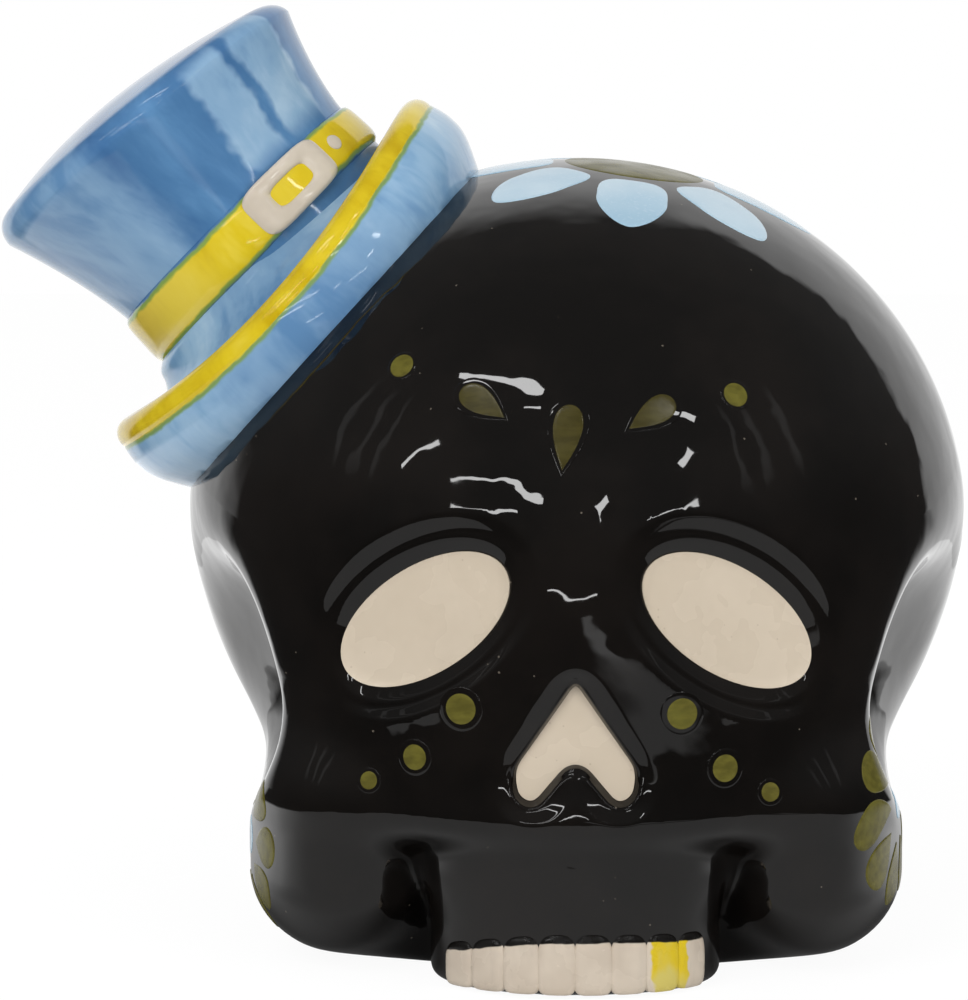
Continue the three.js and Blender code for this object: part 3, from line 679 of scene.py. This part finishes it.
blue_strokes = strokes((92, 138, 182), (74, 118, 163), (58, 100, 148))
pale_strokes = strokes((180, 206, 224), (150, 184, 212), (116, 158, 196))
yellow_strokes = strokes((226, 204, 74), (216, 190, 34), (196, 166, 18))


def hat_turn(place, reach):
    """Angle round the hat in degrees, with the front at -90, unevenly as a brush leaves it."""
    x, y, _ = place.on_hat().axes()
    return y.math("ARCTAN2", x).math("DEGREES") + place.on_hat().wander(95.0, 3.0, 0.6, reach)


def stretch(turn, start, end, soft):
    """1 between two angles."""
    return turn.span(start - soft, start + soft) * turn.span(end - soft, end + soft, 1.0, 0.0)


def crown_colour(place):
    """Blue with a painted reflection that makes the sides paler, two pale panes on the front and an even top.
    """
    turn = hat_turn(place, 14.0)
    x, y, height = place.on_hat().axes()
    on_top = x.hypot(y).span(0.010, 0.027, 1.0, 0.0)
    # Painted reflection: paler on the sides, where the glaze would mirror the white backdrop, and an even
    # share of it on the top.
    painted_reflection_sides = stretch(turn, -190, -103, 9) + stretch(turn, 20, 190, 14)
    painted_reflection_sides = painted_reflection_sides * (1.0 - on_top) + on_top * 0.4
    coat = (painted_reflection_sides * 0.55).blend(blue_strokes(place), pale_strokes(place))
    panes = stretch(turn, -66, -49, 1.6) + stretch(turn, -44.5, -24, 1.6)
    between = height.span(0.014, 0.019) * height.span(0.035, 0.0385, 1.0, 0.0)
    return (panes * between * 0.75).blend(coat, pale_strokes(place))


def brim_colour(place):
    """Pale blue, with greenish yellow where the brush ran off the rolled edge."""
    # Painted reflection: darker blue across the front, where the glaze would mirror the dim room.
    deep = stretch(hat_turn(place, 30.0), -120, -60, 12) * 0.5
    coat = deep.blend(pale_strokes(place), blue_strokes(place))
    near = place.own_mark("near_edge") + place.wander(130.0, 3.0, 0.6, 0.5)
    green = near.span(0.45, 0.62).blend(coat, srgb(122, 152, 92))
    return near.span(0.66, 0.84).blend(green, srgb(226, 200, 40))


def band_colour(place):
    """Yellow, with the blue of the crown showing through along both edges."""
    edge = place.own_mark("across") + place.wander(120.0, 3.0, 0.6, 0.5)
    # Painted reflection: the left side is paler yellow, where the glaze would mirror the white backdrop.
    pale = stretch(hat_turn(place, 25.0), -190, -108, 14) * 0.45
    yellow = pale.blend(yellow_strokes(place), srgb(226, 206, 100))
    green = edge.span(0.72, 0.84).blend(yellow, srgb(132, 158, 76))
    return edge.span(0.88, 1.0).blend(green, blue_strokes(place))


def buckle_colour(place):
    body = place.mottled(120.0, 3.0, 0.6, srgb(197, 186, 171), srgb(212, 202, 187))
    return place.noise(240.0).span(0.6, 0.75, 0.0, 0.4).blend(body, srgb(206, 196, 120))


def clay_colour(place):
    body = place.mottled(160.0, 4.0, 0.6, srgb(206, 196, 180), srgb(224, 216, 203))
    return place.specked(body, 700.0, 0.2, 0.1, 0.5, srgb(150, 134, 112))


def rubber_colour(place):
    return place.mottled(220.0, 4.0, 0.65, srgb(38, 37, 36), srgb(56, 55, 53))


olive_colour = olive((82, 77, 32), (100, 95, 40), (112, 110, 46))
leaf_colour = olive((54, 49, 18), (68, 62, 25), (78, 73, 30))
black_gloss, tooth_gloss = satin(0.012, 0.035, 90.0, 3.0, 0.75), satin(0.16, 0.34, 200.0, 3.0)
BLACK = finish("black_glaze", black_colour, black_gloss, 115.0, 0.01, 0.5, 0.00042, ior=1.52)
CREAM = finish("cream_glaze", cream_colour, satin(0.2, 0.32), 120.0, 0.2, 0.12, 0.0008)
TOOTH, GOLD = (
    finish(name, tooth_colour, tooth_gloss, 160.0, 0.2, 0.2, 0.0008)
    for name in ("tooth_glaze", "gold_tooth_glaze"))
OLIVE = finish("olive_transfer", olive_colour, satin(0.16, 0.3), 200.0, 0.2, 0.08, 0.0006, ior=1.22)
LEAF = finish("leaf_transfer", leaf_colour, satin(0.12, 0.25), 200.0, 0.2, 0.08, 0.0006)
SKY = finish("pale_blue_transfer", sky_colour, satin(0.08, 0.16), 90.0, 0.1, 0.08, 0.0008)
BLUE = finish("blue_crown_glaze", crown_colour, satin(0.05, 0.1), 70.0, 0.05, 0.14, 0.0012)
BRIM_BLUE = finish("blue_brim_glaze", brim_colour, satin(0.05, 0.1), 80.0, 0.05, 0.14, 0.0012)
YELLOW = finish("yellow_glaze", yellow_strokes, satin(0.06, 0.12), 110.0, 0.08, 0.16, 0.001)
STRAP = finish("yellow_strap_glaze", band_colour, satin(0.06, 0.12), 110.0, 0.08, 0.16, 0.001)
BUCKLE = finish("cream_buckle_glaze", buckle_colour, satin(0.08, 0.16), 130.0, 0.1, 0.16, 0.001)
CLAY = finish("bare_clay", clay_colour, satin(0.75, 0.9), 300.0, 0.5, 0.3, 0.0006)
RUBBER = finish("grey_rubber", rubber_colour, satin(0.5, 0.65), 420.0, 0.6, 0.25, 0.0004)


# Skull

def near_recess(points, inner, outer):
    """True on the face where a place lies between two distances from the edge of a recess."""
    found = np.zeros(len(points), bool)
    for grid, outline, *_ in RECESSES:
        local, front = by_recess(points, grid)
        gap = outline_gap(outline, local[front, :2])
        found[np.flatnonzero(front)[(gap > inner) & (gap < outer)]] = True
    return found


def in_detail(points):
    """True round the recesses, in the grooves beside the muzzle and round the slot."""
    x, y, z = points.T
    groove = (np.abs(np.abs(x) - 27) < 9) & (y < -46) & (z < 27)
    return near_recess(points, -1.6, 7.2) | groove | (y > 40) & (slot_gap(points) < 3.2)


def on_nose_step(points):
    return near_recess(points, -0.6, 1.8) & (points[:, 2] < 54) & (np.abs(points[:, 0]) < 14)


def refine(bm, chosen):
    """Halves the facets round the chosen places of the head's skin."""
    bm.verts.index_update()
    fine = chosen(skin_along(unit(np.array([v.co for v in bm.verts], float)), head))
    edges = [e for e in bm.edges if fine[e.verts[0].index] and fine[e.verts[1].index]]
    bmesh.ops.subdivide_edges(bm, edges=edges, cuts=1, use_grid_fill=True)
    bmesh.ops.triangulate(bm, faces=[f for f in bm.faces if len(f.verts) > 3])


def ball(subdivisions):
    bm = bmesh.new()
    bmesh.ops.create_icosphere(bm, subdivisions=subdivisions, radius=1.0)
    return bm


def skull_form():
    bm = move(ball(7), lambda p: gather(p, 0.72))
    for chosen in (in_detail, partial(near_recess, inner=-0.7, outer=5.6), on_nose_step):
        refine(bm, chosen)
    return move(bm, lambda p: skull_skin(unit(p)))


def cavity_form():
    def inner(points):
        within = smooth_min(-vault(points), temple(points), 6.0) - WALL
        return -smooth_min(within, points[..., 2] - FLOOR, 4.0)
    return move(ball(5), lambda p: skin_along(unit(p), inner))


def opening_form():
    wide, hole = FLANGE / 2 + 0.3, HOLE / 2
    return turned([
        (0, -2), (wide + 0.6, -2), (wide + 0.6, 0), (wide, 0.6), (wide, RECESS), (hole, RECESS),
        (hole, FLOOR + 2), (0, FLOOR + 2)], 96)


def slot_form():
    bm = bmesh.new()
    bmesh.ops.create_cube(bm, size=1.0)
    bmesh.ops.scale(bm, vec=(SLOT_LENGTH, 60.0, SLOT_HEIGHT), verts=bm.verts)
    long_edges = [e for e in bm.edges if abs(e.verts[0].co.y - e.verts[1].co.y) > 1]
    bmesh.ops.bevel(
        bm, geom=long_edges, offset=SLOT_HEIGHT / 2 - 0.01, segments=8, profile=0.5, affect="EDGES",
        material=-1)
    bmesh.ops.translate(bm, vec=(0, 76.0, SLOT_LEVEL), verts=bm.verts)
    return bm


def skull():
    bm = cut(blank("skull_form", skull_form()), [
        blank("cavity_form", cavity_form(), 1), blank("opening_form", opening_form(), 1),
        blank("slot_form", slot_form())])
    for face in bm.faces:
        if face.calc_center_median().z < 0.25 and face.normal.z < -0.9:
            face.material_index = 1
    return bm


piece("skull", skull(), [BLACK, CLAY], "skull_shell")


# Flat-laid pieces: a disc whose rings take an outline and whose heights take a profile

def stamped(profile, outline, steps=72):
    """A turned disc with u and v from ring share times outline, and w the height."""
    def shape(points):
        share = np.hypot(points[:, 0], points[:, 1])
        uv = outline(np.arctan2(points[:, 1], points[:, 0])) * share[:, None]
        return np.concatenate([uv, points[:, 2:]], 1)
    return move(turned(profile, steps), shape)


def film(thick, deep=0.2):
    flat = [(share, thick) for share in (0, 0.2, 0.4, 0.6, 0.8, 0.92)]
    edge = [(0.965, thick * 0.85), (0.99, thick * 0.4), (1.0, 0.0)]
    return flat + edge + [(1.0, -deep), (0.5, -deep), (0, -deep)]


def signed_power(value, power):
    return np.sign(value) * np.abs(value) ** power


def round_outline(radius):
    return lambda a: np.stack([np.cos(a), np.sin(a)], -1) * radius


def drop_outline(length, width):
    """Rounded at one end and drawn to a point at the other, along +u."""
    def outline(a):
        a = np.mod(a, 2 * np.pi)
        return np.stack([length / 2 * np.cos(a), width / 2 * np.sin(a) * np.sin(a / 2) ** 1.15 / 0.73], -1)
    return outline


def petal_outline(length, width):
    """Blunt at the inner end, drawn in to a soft tip along +u."""
    def outline(a):
        c, s = np.cos(a), np.sin(a)
        power = np.where(c < 0, 2 / 4.2, 2 / 1.75)
        u, v = signed_power(c, power) * length / 2, signed_power(s, power) * width / 2
        return np.stack([u, v * (1 - 0.08 * c ** 2)], -1)
    return outline


def laid(thick, outline, anchor, up=UP, turn=0.0, shift=(0.0, 0.0)):
    """A film on the head round an anchor. Turn is from +v, and shift is in the laid plane."""
    anchor = snap(anchor)
    out = outward(anchor[None])[0]
    up = np.asarray(up, float)
    up = unit(up - out * (up @ out))
    across = np.cross(up, out)
    c, s = math.cos(turn), math.sin(turn)

    def place(points):
        u = points[:, 0] * c - points[:, 1] * s + shift[0]
        v = points[:, 0] * s + points[:, 1] * c + shift[1]
        flat = anchor + u[:, None] * across + v[:, None] * up
        low, high = np.full(len(flat), -40.0), np.full(len(flat), 25.0)
        skin = flat + reach_inside(flat, out, low, high, in_head, 26)[:, None] * out
        return skin + outward(skin) * points[:, 2:]
    return move(stamped(film(thick), outline), place)


def petal_ring(outline, centre, up, count, radius, start=0.0, flip=0.0):
    ring = []
    for k in range(count):
        turn = start + 2 * math.pi * k / count
        shift = (radius * math.cos(turn), radius * math.sin(turn))
        ring.append(laid(FILM, outline, centre, up, turn + flip, shift))
    return joined(ring)


def dots(thick, given, wide=1.0):
    return [laid(thick, round_outline(radius * wide), place) for place, radius in given]


def leaves(thick, long=1.0, wide=1.0):
    return [
        laid(thick, drop_outline(a * long, b * wide), place, turn=turn) for place, a, b, turn in BROW_LEAVES]


clear_films = dots(FILM, CHEEK_DOTS, 1.42) + dots(0.07, BROW_DOTS, 1.25) + leaves(0.08, 1.2, 1.4)
piece("clear_transfer_film", joined(clear_films), [BLACK])
piece("face_dots", joined(dots(0.19, CHEEK_DOTS + BROW_DOTS)), [OLIVE])
piece("brow_leaves", joined(leaves(0.15)), [LEAF])

crown_petals = petal_ring(
    petal_outline(PETAL_TIP - PETAL_INNER, PETAL_WIDTH), FLOWER, FLOWER_UP, PETALS,
    (PETAL_INNER + PETAL_TIP) / 2, start=math.radians(-90))
piece("crown_petals", crown_petals, [SKY])
piece("crown_flower_disc", laid(FILM, round_outline(FLOWER_DISC), FLOWER, FLOWER_UP), [OLIVE])

for label, centre in JAW_FLOWERS.items():
    jaw_petals = petal_ring(
        drop_outline(JAW_PETAL_LENGTH, JAW_PETAL_WIDTH), centre, UP, JAW_PETALS, JAW_PETAL_RADIUS,
        flip=math.pi)
    piece(f"jaw_petals_{label}", jaw_petals, [OLIVE])
    piece(f"jaw_flower_disc_{label}", laid(FILM, round_outline(JAW_DISC), centre), [SKY])


# Eye and nose panels, dished up to their walls

def eye_panel(side):
    dish = [(r, 0.12 + 0.36 * (max(r - 0.86, 0) / 0.14) ** 2) for r in np.linspace(0, 1, 30)]
    under = [(1.0, -1.6), (0.5, -1.6), (0, -1.6)]
    bm = stamped(dish + under, lambda a: eye_edge(side, a, 0.05), 120)
    return move(bm, lambda p: to_head(EYES[side], p))


def nose_panel():
    shape = nose_outline()
    bm = bmesh.new()
    bm.faces.new([bm.verts.new((u, v, 0.0)) for u, v in shape])
    for _ in range(4):
        inner = [f for f in bm.faces if len(f.verts) > 4]
        bmesh.ops.inset_region(bm, faces=inner, thickness=0.3, depth=0.0, use_even_offset=True)
    bmesh.ops.triangulate(bm, faces=[f for f in bm.faces if len(f.verts) > 4])

    def dish(points):
        gap = outline_gap(shape, points[:, :2])
        lift = 0.12 + 0.36 * np.clip((gap + 1.2) / 1.2, 0, 1) ** 2
        return np.concatenate([points[:, :2], lift[:, None]], 1)
    move(bm, dish)
    grown = bmesh.ops.extrude_face_region(bm, geom=list(bm.faces))
    lower = [g for g in grown["geom"] if isinstance(g, bmesh.types.BMVert)]
    bmesh.ops.translate(bm, vec=(0, 0, -2.2), verts=lower)
    return move(bm, lambda p: to_head(NOSE, p))


for side, label in SIDES:
    piece(f"eye_panel_dish_{label}", eye_panel(side), [CREAM], f"eye_panel_{label}")
piece("nose_panel_dish", nose_panel(), [CREAM], "nose_panel")


# Teeth

def arch_angle(length):
    """Angle from the middle of the muzzle's arch at a length along it."""
    step, angle, walked = 0.002, 0.0, 0.0
    while walked < length:
        walked += step * math.hypot(MUZZLE_FOOT_HALF * math.cos(angle), MUZZLE_ARCH * math.sin(angle))
        angle += step
    return angle


def gum_fall(x):
    """How far the painted gum line comes down away from the middle."""
    left, right, end = np.minimum(x, 0), np.maximum(x, 0), np.maximum(x - GUM_END, 0)
    return GUM_LEFT * left ** 2 + GUM_RIGHT * right ** 2 + GUM_END_FALL * end


def tooth(side, place):
    middle = side * arch_angle((place - 0.5) * TOOTH_PITCH)
    half_turn = (arch_angle(place * TOOTH_PITCH) - arch_angle((place - 1) * TOOTH_PITCH)) / 2

    def outline(a):
        c, s = np.cos(a), np.sin(a)
        power = np.where(s > 0, 2 / 3.0, 2 / 5.0)
        return np.stack([signed_power(c, power), signed_power(s, power)], -1)
    pillow = [(r, 0.55 - 0.55 * r ** 7) for r in np.linspace(0, 0.98, 16)]
    bm = stamped(pillow + [(1.0, -0.5), (1.0, -2.6), (0.5, -2.6), (0, -2.6)], outline, 64)

    def stand(points):
        angle = middle + points[:, 0] * half_turn * 1.1
        reach = points[:, 2]
        high = TOOTH_TOP - gum_fall(MUZZLE_FOOT_HALF * np.sin(angle))
        z = (TOOTH_FOOT + high) / 2 + points[:, 1] * (high - TOOTH_FOOT) / 2
        x = (MUZZLE_FOOT_HALF + reach) * np.sin(angle)
        y = MUZZLE_ARCH - MUZZLE_FRONT - (MUZZLE_ARCH + reach) * np.cos(angle)
        return np.stack([x, y, z], -1)
    return move(bm, stand)


for side, label in SIDES:
    for place in range(1, TEETH_PER_SIDE + 1):
        gold = side == 1 and place == GOLD_TOOTH
        piece(
            f"tooth_crown_{label}_{place}", tooth(side, place), [GOLD if gold else TOOTH],
            f"tooth_{label}_{place}", crease=60)


# Hat, worked upright and then set on the head at its tilt

def crown_radius(z):
    low = (WAIST_LEVEL - z) / (WAIST_LEVEL - HAT_BELOW)
    high = np.clip((z - WAIST_LEVEL) / (CROWN_HEIGHT - WAIST_LEVEL), 0, None)
    below = CROWN_WAIST + (CROWN_FOOT - CROWN_WAIST) * low
    above = CROWN_WAIST + (CROWN_TOP - CROWN_WAIST) * high ** CROWN_FLARE
    return np.where(z < WAIST_LEVEL, below, above) / 2


def lean(points):
    share = np.maximum(points[:, 2], 0) / CROWN_HEIGHT
    moved = points.copy()
    moved[:, 2] -= points[:, 0] * math.tan(math.radians(CROWN_SLANT)) * share
    moved[:, 0] += CROWN_SWAY * share
    return moved


def curl(points, share=1.0):
    moved = points.copy()
    moved[:, 2] += BRIM_CURL * share * np.cos(2 * np.arctan2(points[:, 1], points[:, 0]))
    moved[:, 0] += BRIM_OFFSET
    return moved


def set_on_head(points, deep=0.8):
    """Takes hat places to the head, and lifts what would lie deep in it to just under its skin."""
    placed, axis = to_head(HAT, points), HAT[:3, 2]
    low, high = np.zeros(len(placed)), np.full(len(placed), 40.0)
    lift = reach_inside(placed, axis, low, high, lambda p: head(p) < -deep, 24)
    return placed + np.where(head(placed) < -deep, lift, 0)[:, None] * axis


def crown():
    shoulder = CROWN_HEIGHT - CROWN_EDGE
    rim = crown_radius(shoulder) - CROWN_EDGE
    profile = [(0, HAT_BELOW), (14, HAT_BELOW)]
    profile += [(crown_radius(z), z) for z in np.linspace(HAT_BELOW, shoulder, 40)]
    for t in np.linspace(0, math.radians(74), 13)[1:]:
        profile.append((rim + CROWN_EDGE * math.cos(t), shoulder + CROWN_EDGE * math.sin(t)))
    reach, level = profile[-1]
    profile += [(reach * s, level + CROWN_DOME * (1 - s * s)) for s in np.linspace(0.95, 0, 16)]
    return move(turned(profile, 144), lambda p: set_on_head(lean(p)))


def brim():
    outer, roll, foot = BRIM / 2, PIPING / 2, CROWN_FOOT / 2
    line = smooth_profile([
        (foot - 4.5, 8.0), (foot - 1.6, 6.2), (foot - 0.6, 4.2), (foot + 1.0, 2.3), (foot + 3.4, 0.6),
        (outer - 3.2 * roll, BRIM_LEVEL + 0.1), (outer - 1.7 * roll, BRIM_LEVEL + 0.9),
        (outer - 0.7 * roll, BRIM_LEVEL + 1.4), (outer + 0.1 * roll, BRIM_LEVEL + 0.2),
        (outer + 0.55 * roll, BRIM_LEVEL - 1.9 * roll), (outer + 0.15 * roll, BRIM_LEVEL - 3.9 * roll),
        (outer - 1.6 * roll, HAT_BELOW + 1.0), (outer - 3 * roll, HAT_BELOW)], 5)
    bm = turned([*line, (foot - 4.5, HAT_BELOW), line[0]], 160)
    near = bm.verts.layers.float.new("near_edge")
    for vert in bm.verts:
        off_roll = math.hypot(vert.co.x, vert.co.y) - (outer - roll)
        gap = math.hypot(off_roll, vert.co.z - BRIM_LEVEL) - roll
        vert[near] = max(0.0, 1 - max(gap, 0.0) / 2.2)

    def shape(points):
        radius = np.hypot(points[:, 0], points[:, 1])
        return set_on_head(curl(points, smooth_step(foot, outer, radius)))
    return move(bm, shape)


def piping():
    bm = bmesh.new()
    made = bmesh.ops.create_circle(bm, segments=28, radius=PIPING * PIPING_FULLNESS, cap_ends=False)
    bmesh.ops.rotate(bm, verts=made["verts"], cent=(0, 0, 0), matrix=Matrix.Rotation(math.pi / 2, 3, "X"))
    bmesh.ops.translate(bm, verts=made["verts"], vec=((BRIM - PIPING) / 2, 0, BRIM_LEVEL))
    return move(spun(bm, 160), lambda p: to_head(HAT, curl(p)))


def band():
    low, high = BAND_LEVEL - 0.6, BAND_LEVEL + BAND_WIDTH + 0.5
    middle, half = (low + high) / 2, (high - low) / 2
    profile = []
    for t in np.linspace(-1, 1, 17):
        z = middle + t * half
        profile.append((crown_radius(z) + 0.05 + 1.25 * (1 - t ** 4) ** 0.6, z))
    inner = [(crown_radius(z) - 0.6, z) for z in (high, middle, low)]
    bm = turned(profile + inner + [profile[0]], 144)
    across = bm.verts.layers.float.new("across")
    for vert in bm.verts:
        vert[across] = abs((vert.co.z - middle) / half)
    return move(bm, lambda p: to_head(HAT, lean(p)))


def on_band(points):
    """Lays u along the band, v up the crown and w out, from the buckle's place on the crown's side."""
    z = BAND_LEVEL + BAND_WIDTH / 2 + points[:, 1]
    radius = crown_radius(z)
    angle = math.radians(BUCKLE_TURN - 90) + points[:, 0] / (radius + 1.4)
    reach = radius + points[:, 2]
    return to_head(HAT, lean(np.stack([reach * np.cos(angle), reach * np.sin(angle), z], -1)))


def buckle():
    def rounded(a, half_u, half_v, power):
        return np.stack([
            signed_power(np.cos(a), 2 / power) * half_u, signed_power(np.sin(a), 2 / power) * half_v], -1)
    top = [(t + 1.0, 1.35 + 0.55 * (1 - abs(2 * t - 1) ** 4)) for t in np.linspace(0, 1, 9)]
    loop = top + [(2.0, 0.4), (1.0, 0.4), top[0]]

    def shape(points):
        share = np.hypot(points[:, 0], points[:, 1])[:, None] - 1.0
        a = np.arctan2(points[:, 1], points[:, 0])
        uv = rounded(a, 4.5, 2.1, 4.0) * (1 - share) + rounded(a, 9.6, 4.9, 5.0) * share
        return on_band(np.concatenate([uv, points[:, 2:]], 1))
    return move(turned(loop, 96), shape)


def belt_hole():
    button = [(0, 1.62), (0.5, 1.58), (0.85, 1.5), (1.0, 1.2), (1.0, 0.4), (0, 0.4)]
    bm = stamped(button, round_outline(1.7), 40)
    return move(bm, lambda p: on_band(p + np.array([13.2, 0.2, 0.0])))


piece("hat_crown_glazed", crown(), [BLUE], "hat_crown")
piece("hat_brim_glazed", brim(), [BRIM_BLUE], "hat_brim", crease=70)
piece("brim_piping_roll", piping(), [YELLOW], "brim_piping")
piece("hat_band_strap", band(), [STRAP], "hat_band", crease=70)
piece("hat_buckle_frame", buckle(), [BUCKLE], "hat_buckle", crease=60)
piece("belt_hole_dot", belt_hole(), [BUCKLE])


# Stopper

def stopper():
    flange, plug = FLANGE / 2, HOLE / 2 - 0.3
    bottom, shoulder = RECESS - 0.3 - 2.2, RECESS - 0.3
    top = shoulder + 13.0
    return turned([
        (0, top - 3.2), (plug - 5.2, top - 3.2), (plug - 4.2, top - 3.9), (plug - 3.3, bottom + 0.6),
        (plug - 2.7, bottom), (flange - 0.7, bottom), (flange - 0.2, bottom + 0.25), (flange, bottom + 0.8),
        (flange, shoulder - 0.5), (flange - 0.5, shoulder), (plug + 0.05, shoulder), (plug, shoulder + 0.5),
        (plug, 6.2), (plug + 0.1, 7.2), (plug - 0.1, 8.4), (plug - 1.0, top - 1.0), (plug - 1.6, top - 0.2),
        (plug - 2.4, top), (0, top)], 96)


piece("stopper_plug", stopper(), [RUBBER], "base_stopper", body="stopper")


# Studio

def aimed(name, data, place, target):
    """A camera or lamp at one place, turned to another."""
    made = in_scene(name, data)
    made.location = TO_FRAME @ Vector(place)
    made.rotation_mode = "QUATERNION"
    made.rotation_quaternion = (TO_FRAME @ Vector(target) - made.location).to_track_quat("-Z", "Y")
    return made


camera = aimed("camera", bpy.data.cameras.new("camera"), (0.0, -700.0, 145.0), (-16.64, 0.0, 76.05))
camera.data.lens = 140.15
camera.data.sensor_width = 36.0
camera.data.clip_start, camera.data.clip_end = 0.05, 20.0
bpy.context.scene.camera = camera


def lamp(name, place, target, size, power, glossy=False, diffuse=True):
    made = aimed(name, bpy.data.lights.new(name, "AREA"), place, target)
    made.data.shape = "RECTANGLE"
    made.data.size, made.data.size_y = size
    made.data.energy = power
    made.visible_camera = False
    made.visible_glossy = glossy
    made.visible_diffuse = diffuse
    return made


# Two broad soft lamps, and tubes that only show as lines in the glaze
MIDDLE, BROW, TUBE_FAR, TUBE_POWER = (-5.0, -20.0, 75.0), (0, -20, 85), 1500.0, 36.0
TUBES = [
    (-34, 53, (0.62, 0.045), 4), (-16, 46, (0.16, 0.03), 10), (-52, 27, (0.30, 0.03), 40),
    (-25, 23, (0.70, 0.022), 2), (-29, 18, (0.50, 0.022), 4), (8, 19.5, (0.10, 0.04), 30),
    (29, 17.5, (0.42, 0.018), 0), (37, 41, (0.26, 0.045), -35), (35, 29, (0.15, 0.045), 40),
    (-1, 2.5, (0.34, 0.018), 0),
]
lamp("key", (-520, -900, 760), MIDDLE, (0.7, 0.7), 6.0)
lamp("fill", (700, -900, 420), MIDDLE, (0.7, 0.7), 4.0)
for index, (azimuth, elevation, size, roll) in enumerate(TUBES):
    a, e = math.radians(azimuth), math.radians(elevation)
    way = Vector((math.sin(a) * math.cos(e), -math.cos(a) * math.cos(e), math.sin(e)))
    power = TUBE_POWER * size[0] * size[1]
    tube = lamp(f"tube_{index}", Vector(BROW) + TUBE_FAR * way, BROW, size, power, glossy=True, diffuse=False)
    rolled = Matrix.Rotation(math.radians(roll), 3, "Z").to_quaternion()
    tube.rotation_quaternion = tube.rotation_quaternion @ rolled


def build_world():
    """White to the camera, even to matt surfaces, and to the glaze a dim room with a pale wall behind."""
    world = bpy.data.worlds.new("studio")
    bpy.context.scene.world = world
    world.use_nodes = True
    tree = world.node_tree
    tree.nodes.clear()
    path = node(tree, "ShaderNodeLightPath")
    way = places(tree, "Generated")
    x, y, z = way.axes()
    right = x.span(0.1, 0.45)
    behind = y.span(right.span(0.0, 1.0, 0.40, 0.56), right.span(0.0, 1.0, 0.74, 0.61))
    azimuth = x.math("ARCTAN2", y * -1.0)
    seen = z.span(0.0, 0.5, 0.06, 0.14)
    high = z.span(0.3, 0.4) * z.span(0.55, 0.68, 1.0, 0.0)
    for degrees in (-82, -74, -66, 55, 63, 75):
        seen += (azimuth - math.radians(degrees)).size().span(0.008, 0.03, 0.24, 0.0) * high

    def shine(strength):
        return way.node("ShaderNodeBackground", {"Color": (1, 1, 1, 1), "Strength": strength})
    mirrored = Value(path["Is Glossy Ray"]).mix(shine(0.55), shine(behind.most(seen)))
    node(tree, "ShaderNodeOutputWorld", {0: Value(path["Is Camera Ray"]).mix(mirrored, shine(1.0))})


def build_floor():
    """A wide pale floor, clear from below. To the glaze it shows painted glowing patches round the skull,
    with a painted shadow round its foot.
    """
    bm = bmesh.new()
    bmesh.ops.create_grid(bm, x_segments=4, y_segments=4, size=2.5)
    bmesh.ops.translate(bm, verts=bm.verts, vec=(0, 0, -0.0002))
    made, tree = empty_material("white_floor")
    floor = linked("floor", bm, [made])
    path = node(tree, "ShaderNodeLightPath")
    camera_ray, glossy_ray, diffuse_ray = (
        Value(path[f"Is {kind} Ray"]) for kind in ("Camera", "Glossy", "Diffuse"))
    place = places(tree)
    x, y, _ = place.axes()
    across, ahead = x - AXIS.x, y - AXIS.y
    off = across.size()
    # Patches that glow only to the glaze, with no lamp on them: painted light.
    sheet = ahead.span(-0.192, -0.188, 0.0, 0.5) * off.span(0.178, 0.182, 1.0, 0.0)
    beside = off.span(0.070, 0.150, 0.0, 0.85) * ahead.span(-0.100, 0.020) * off.span(0.175, 0.205, 1.0, 0.0)
    rear = ahead.span(0.060, 0.160) * (ahead / off).span(0.55, 0.85)
    card = across.span(0.040, 0.100) * across.span(0.150, 0.190, 1.0, 0.0)
    card = card * ahead.span(-0.240, -0.190, 1.0, 0.0) * ahead.span(-0.900, -0.300, 1.0, 0.5)
    foot = (off / 0.066).hypot((ahead + 0.008) / 0.048)
    # Painted shadow: the glowing patches fade round the skull's foot.
    painted_glow = (sheet + beside) * foot.span(0.95, 1.3, 0.15, 1.0)
    mirrored = painted_glow.most(rear).most(card).most(0.05) * glossy_ray
    paper = place.node("ShaderNodeBsdfDiffuse", {"Color": (0.86, 0.86, 0.86, 1)})
    bright = place.node("ShaderNodeEmission", {
        "Color": (1, 1, 1, 1), "Strength": camera_ray.most(mirrored) * 1.05})
    above = (camera_ray * 0.9).most(glossy_ray).mix(paper, bright)
    under = diffuse_ray * foot.span(0.60, 0.70, 1.0, 0.0)
    below = Value(node(tree, "ShaderNodeNewGeometry")["Backfacing"])
    clear = place.node("ShaderNodeBsdfTransparent", {})
    node(tree, "ShaderNodeOutputMaterial", {0: below.most(under).mix(above, clear)})


build_world()
build_floor()
bpy.context.scene.view_settings.view_transform = "Standard"
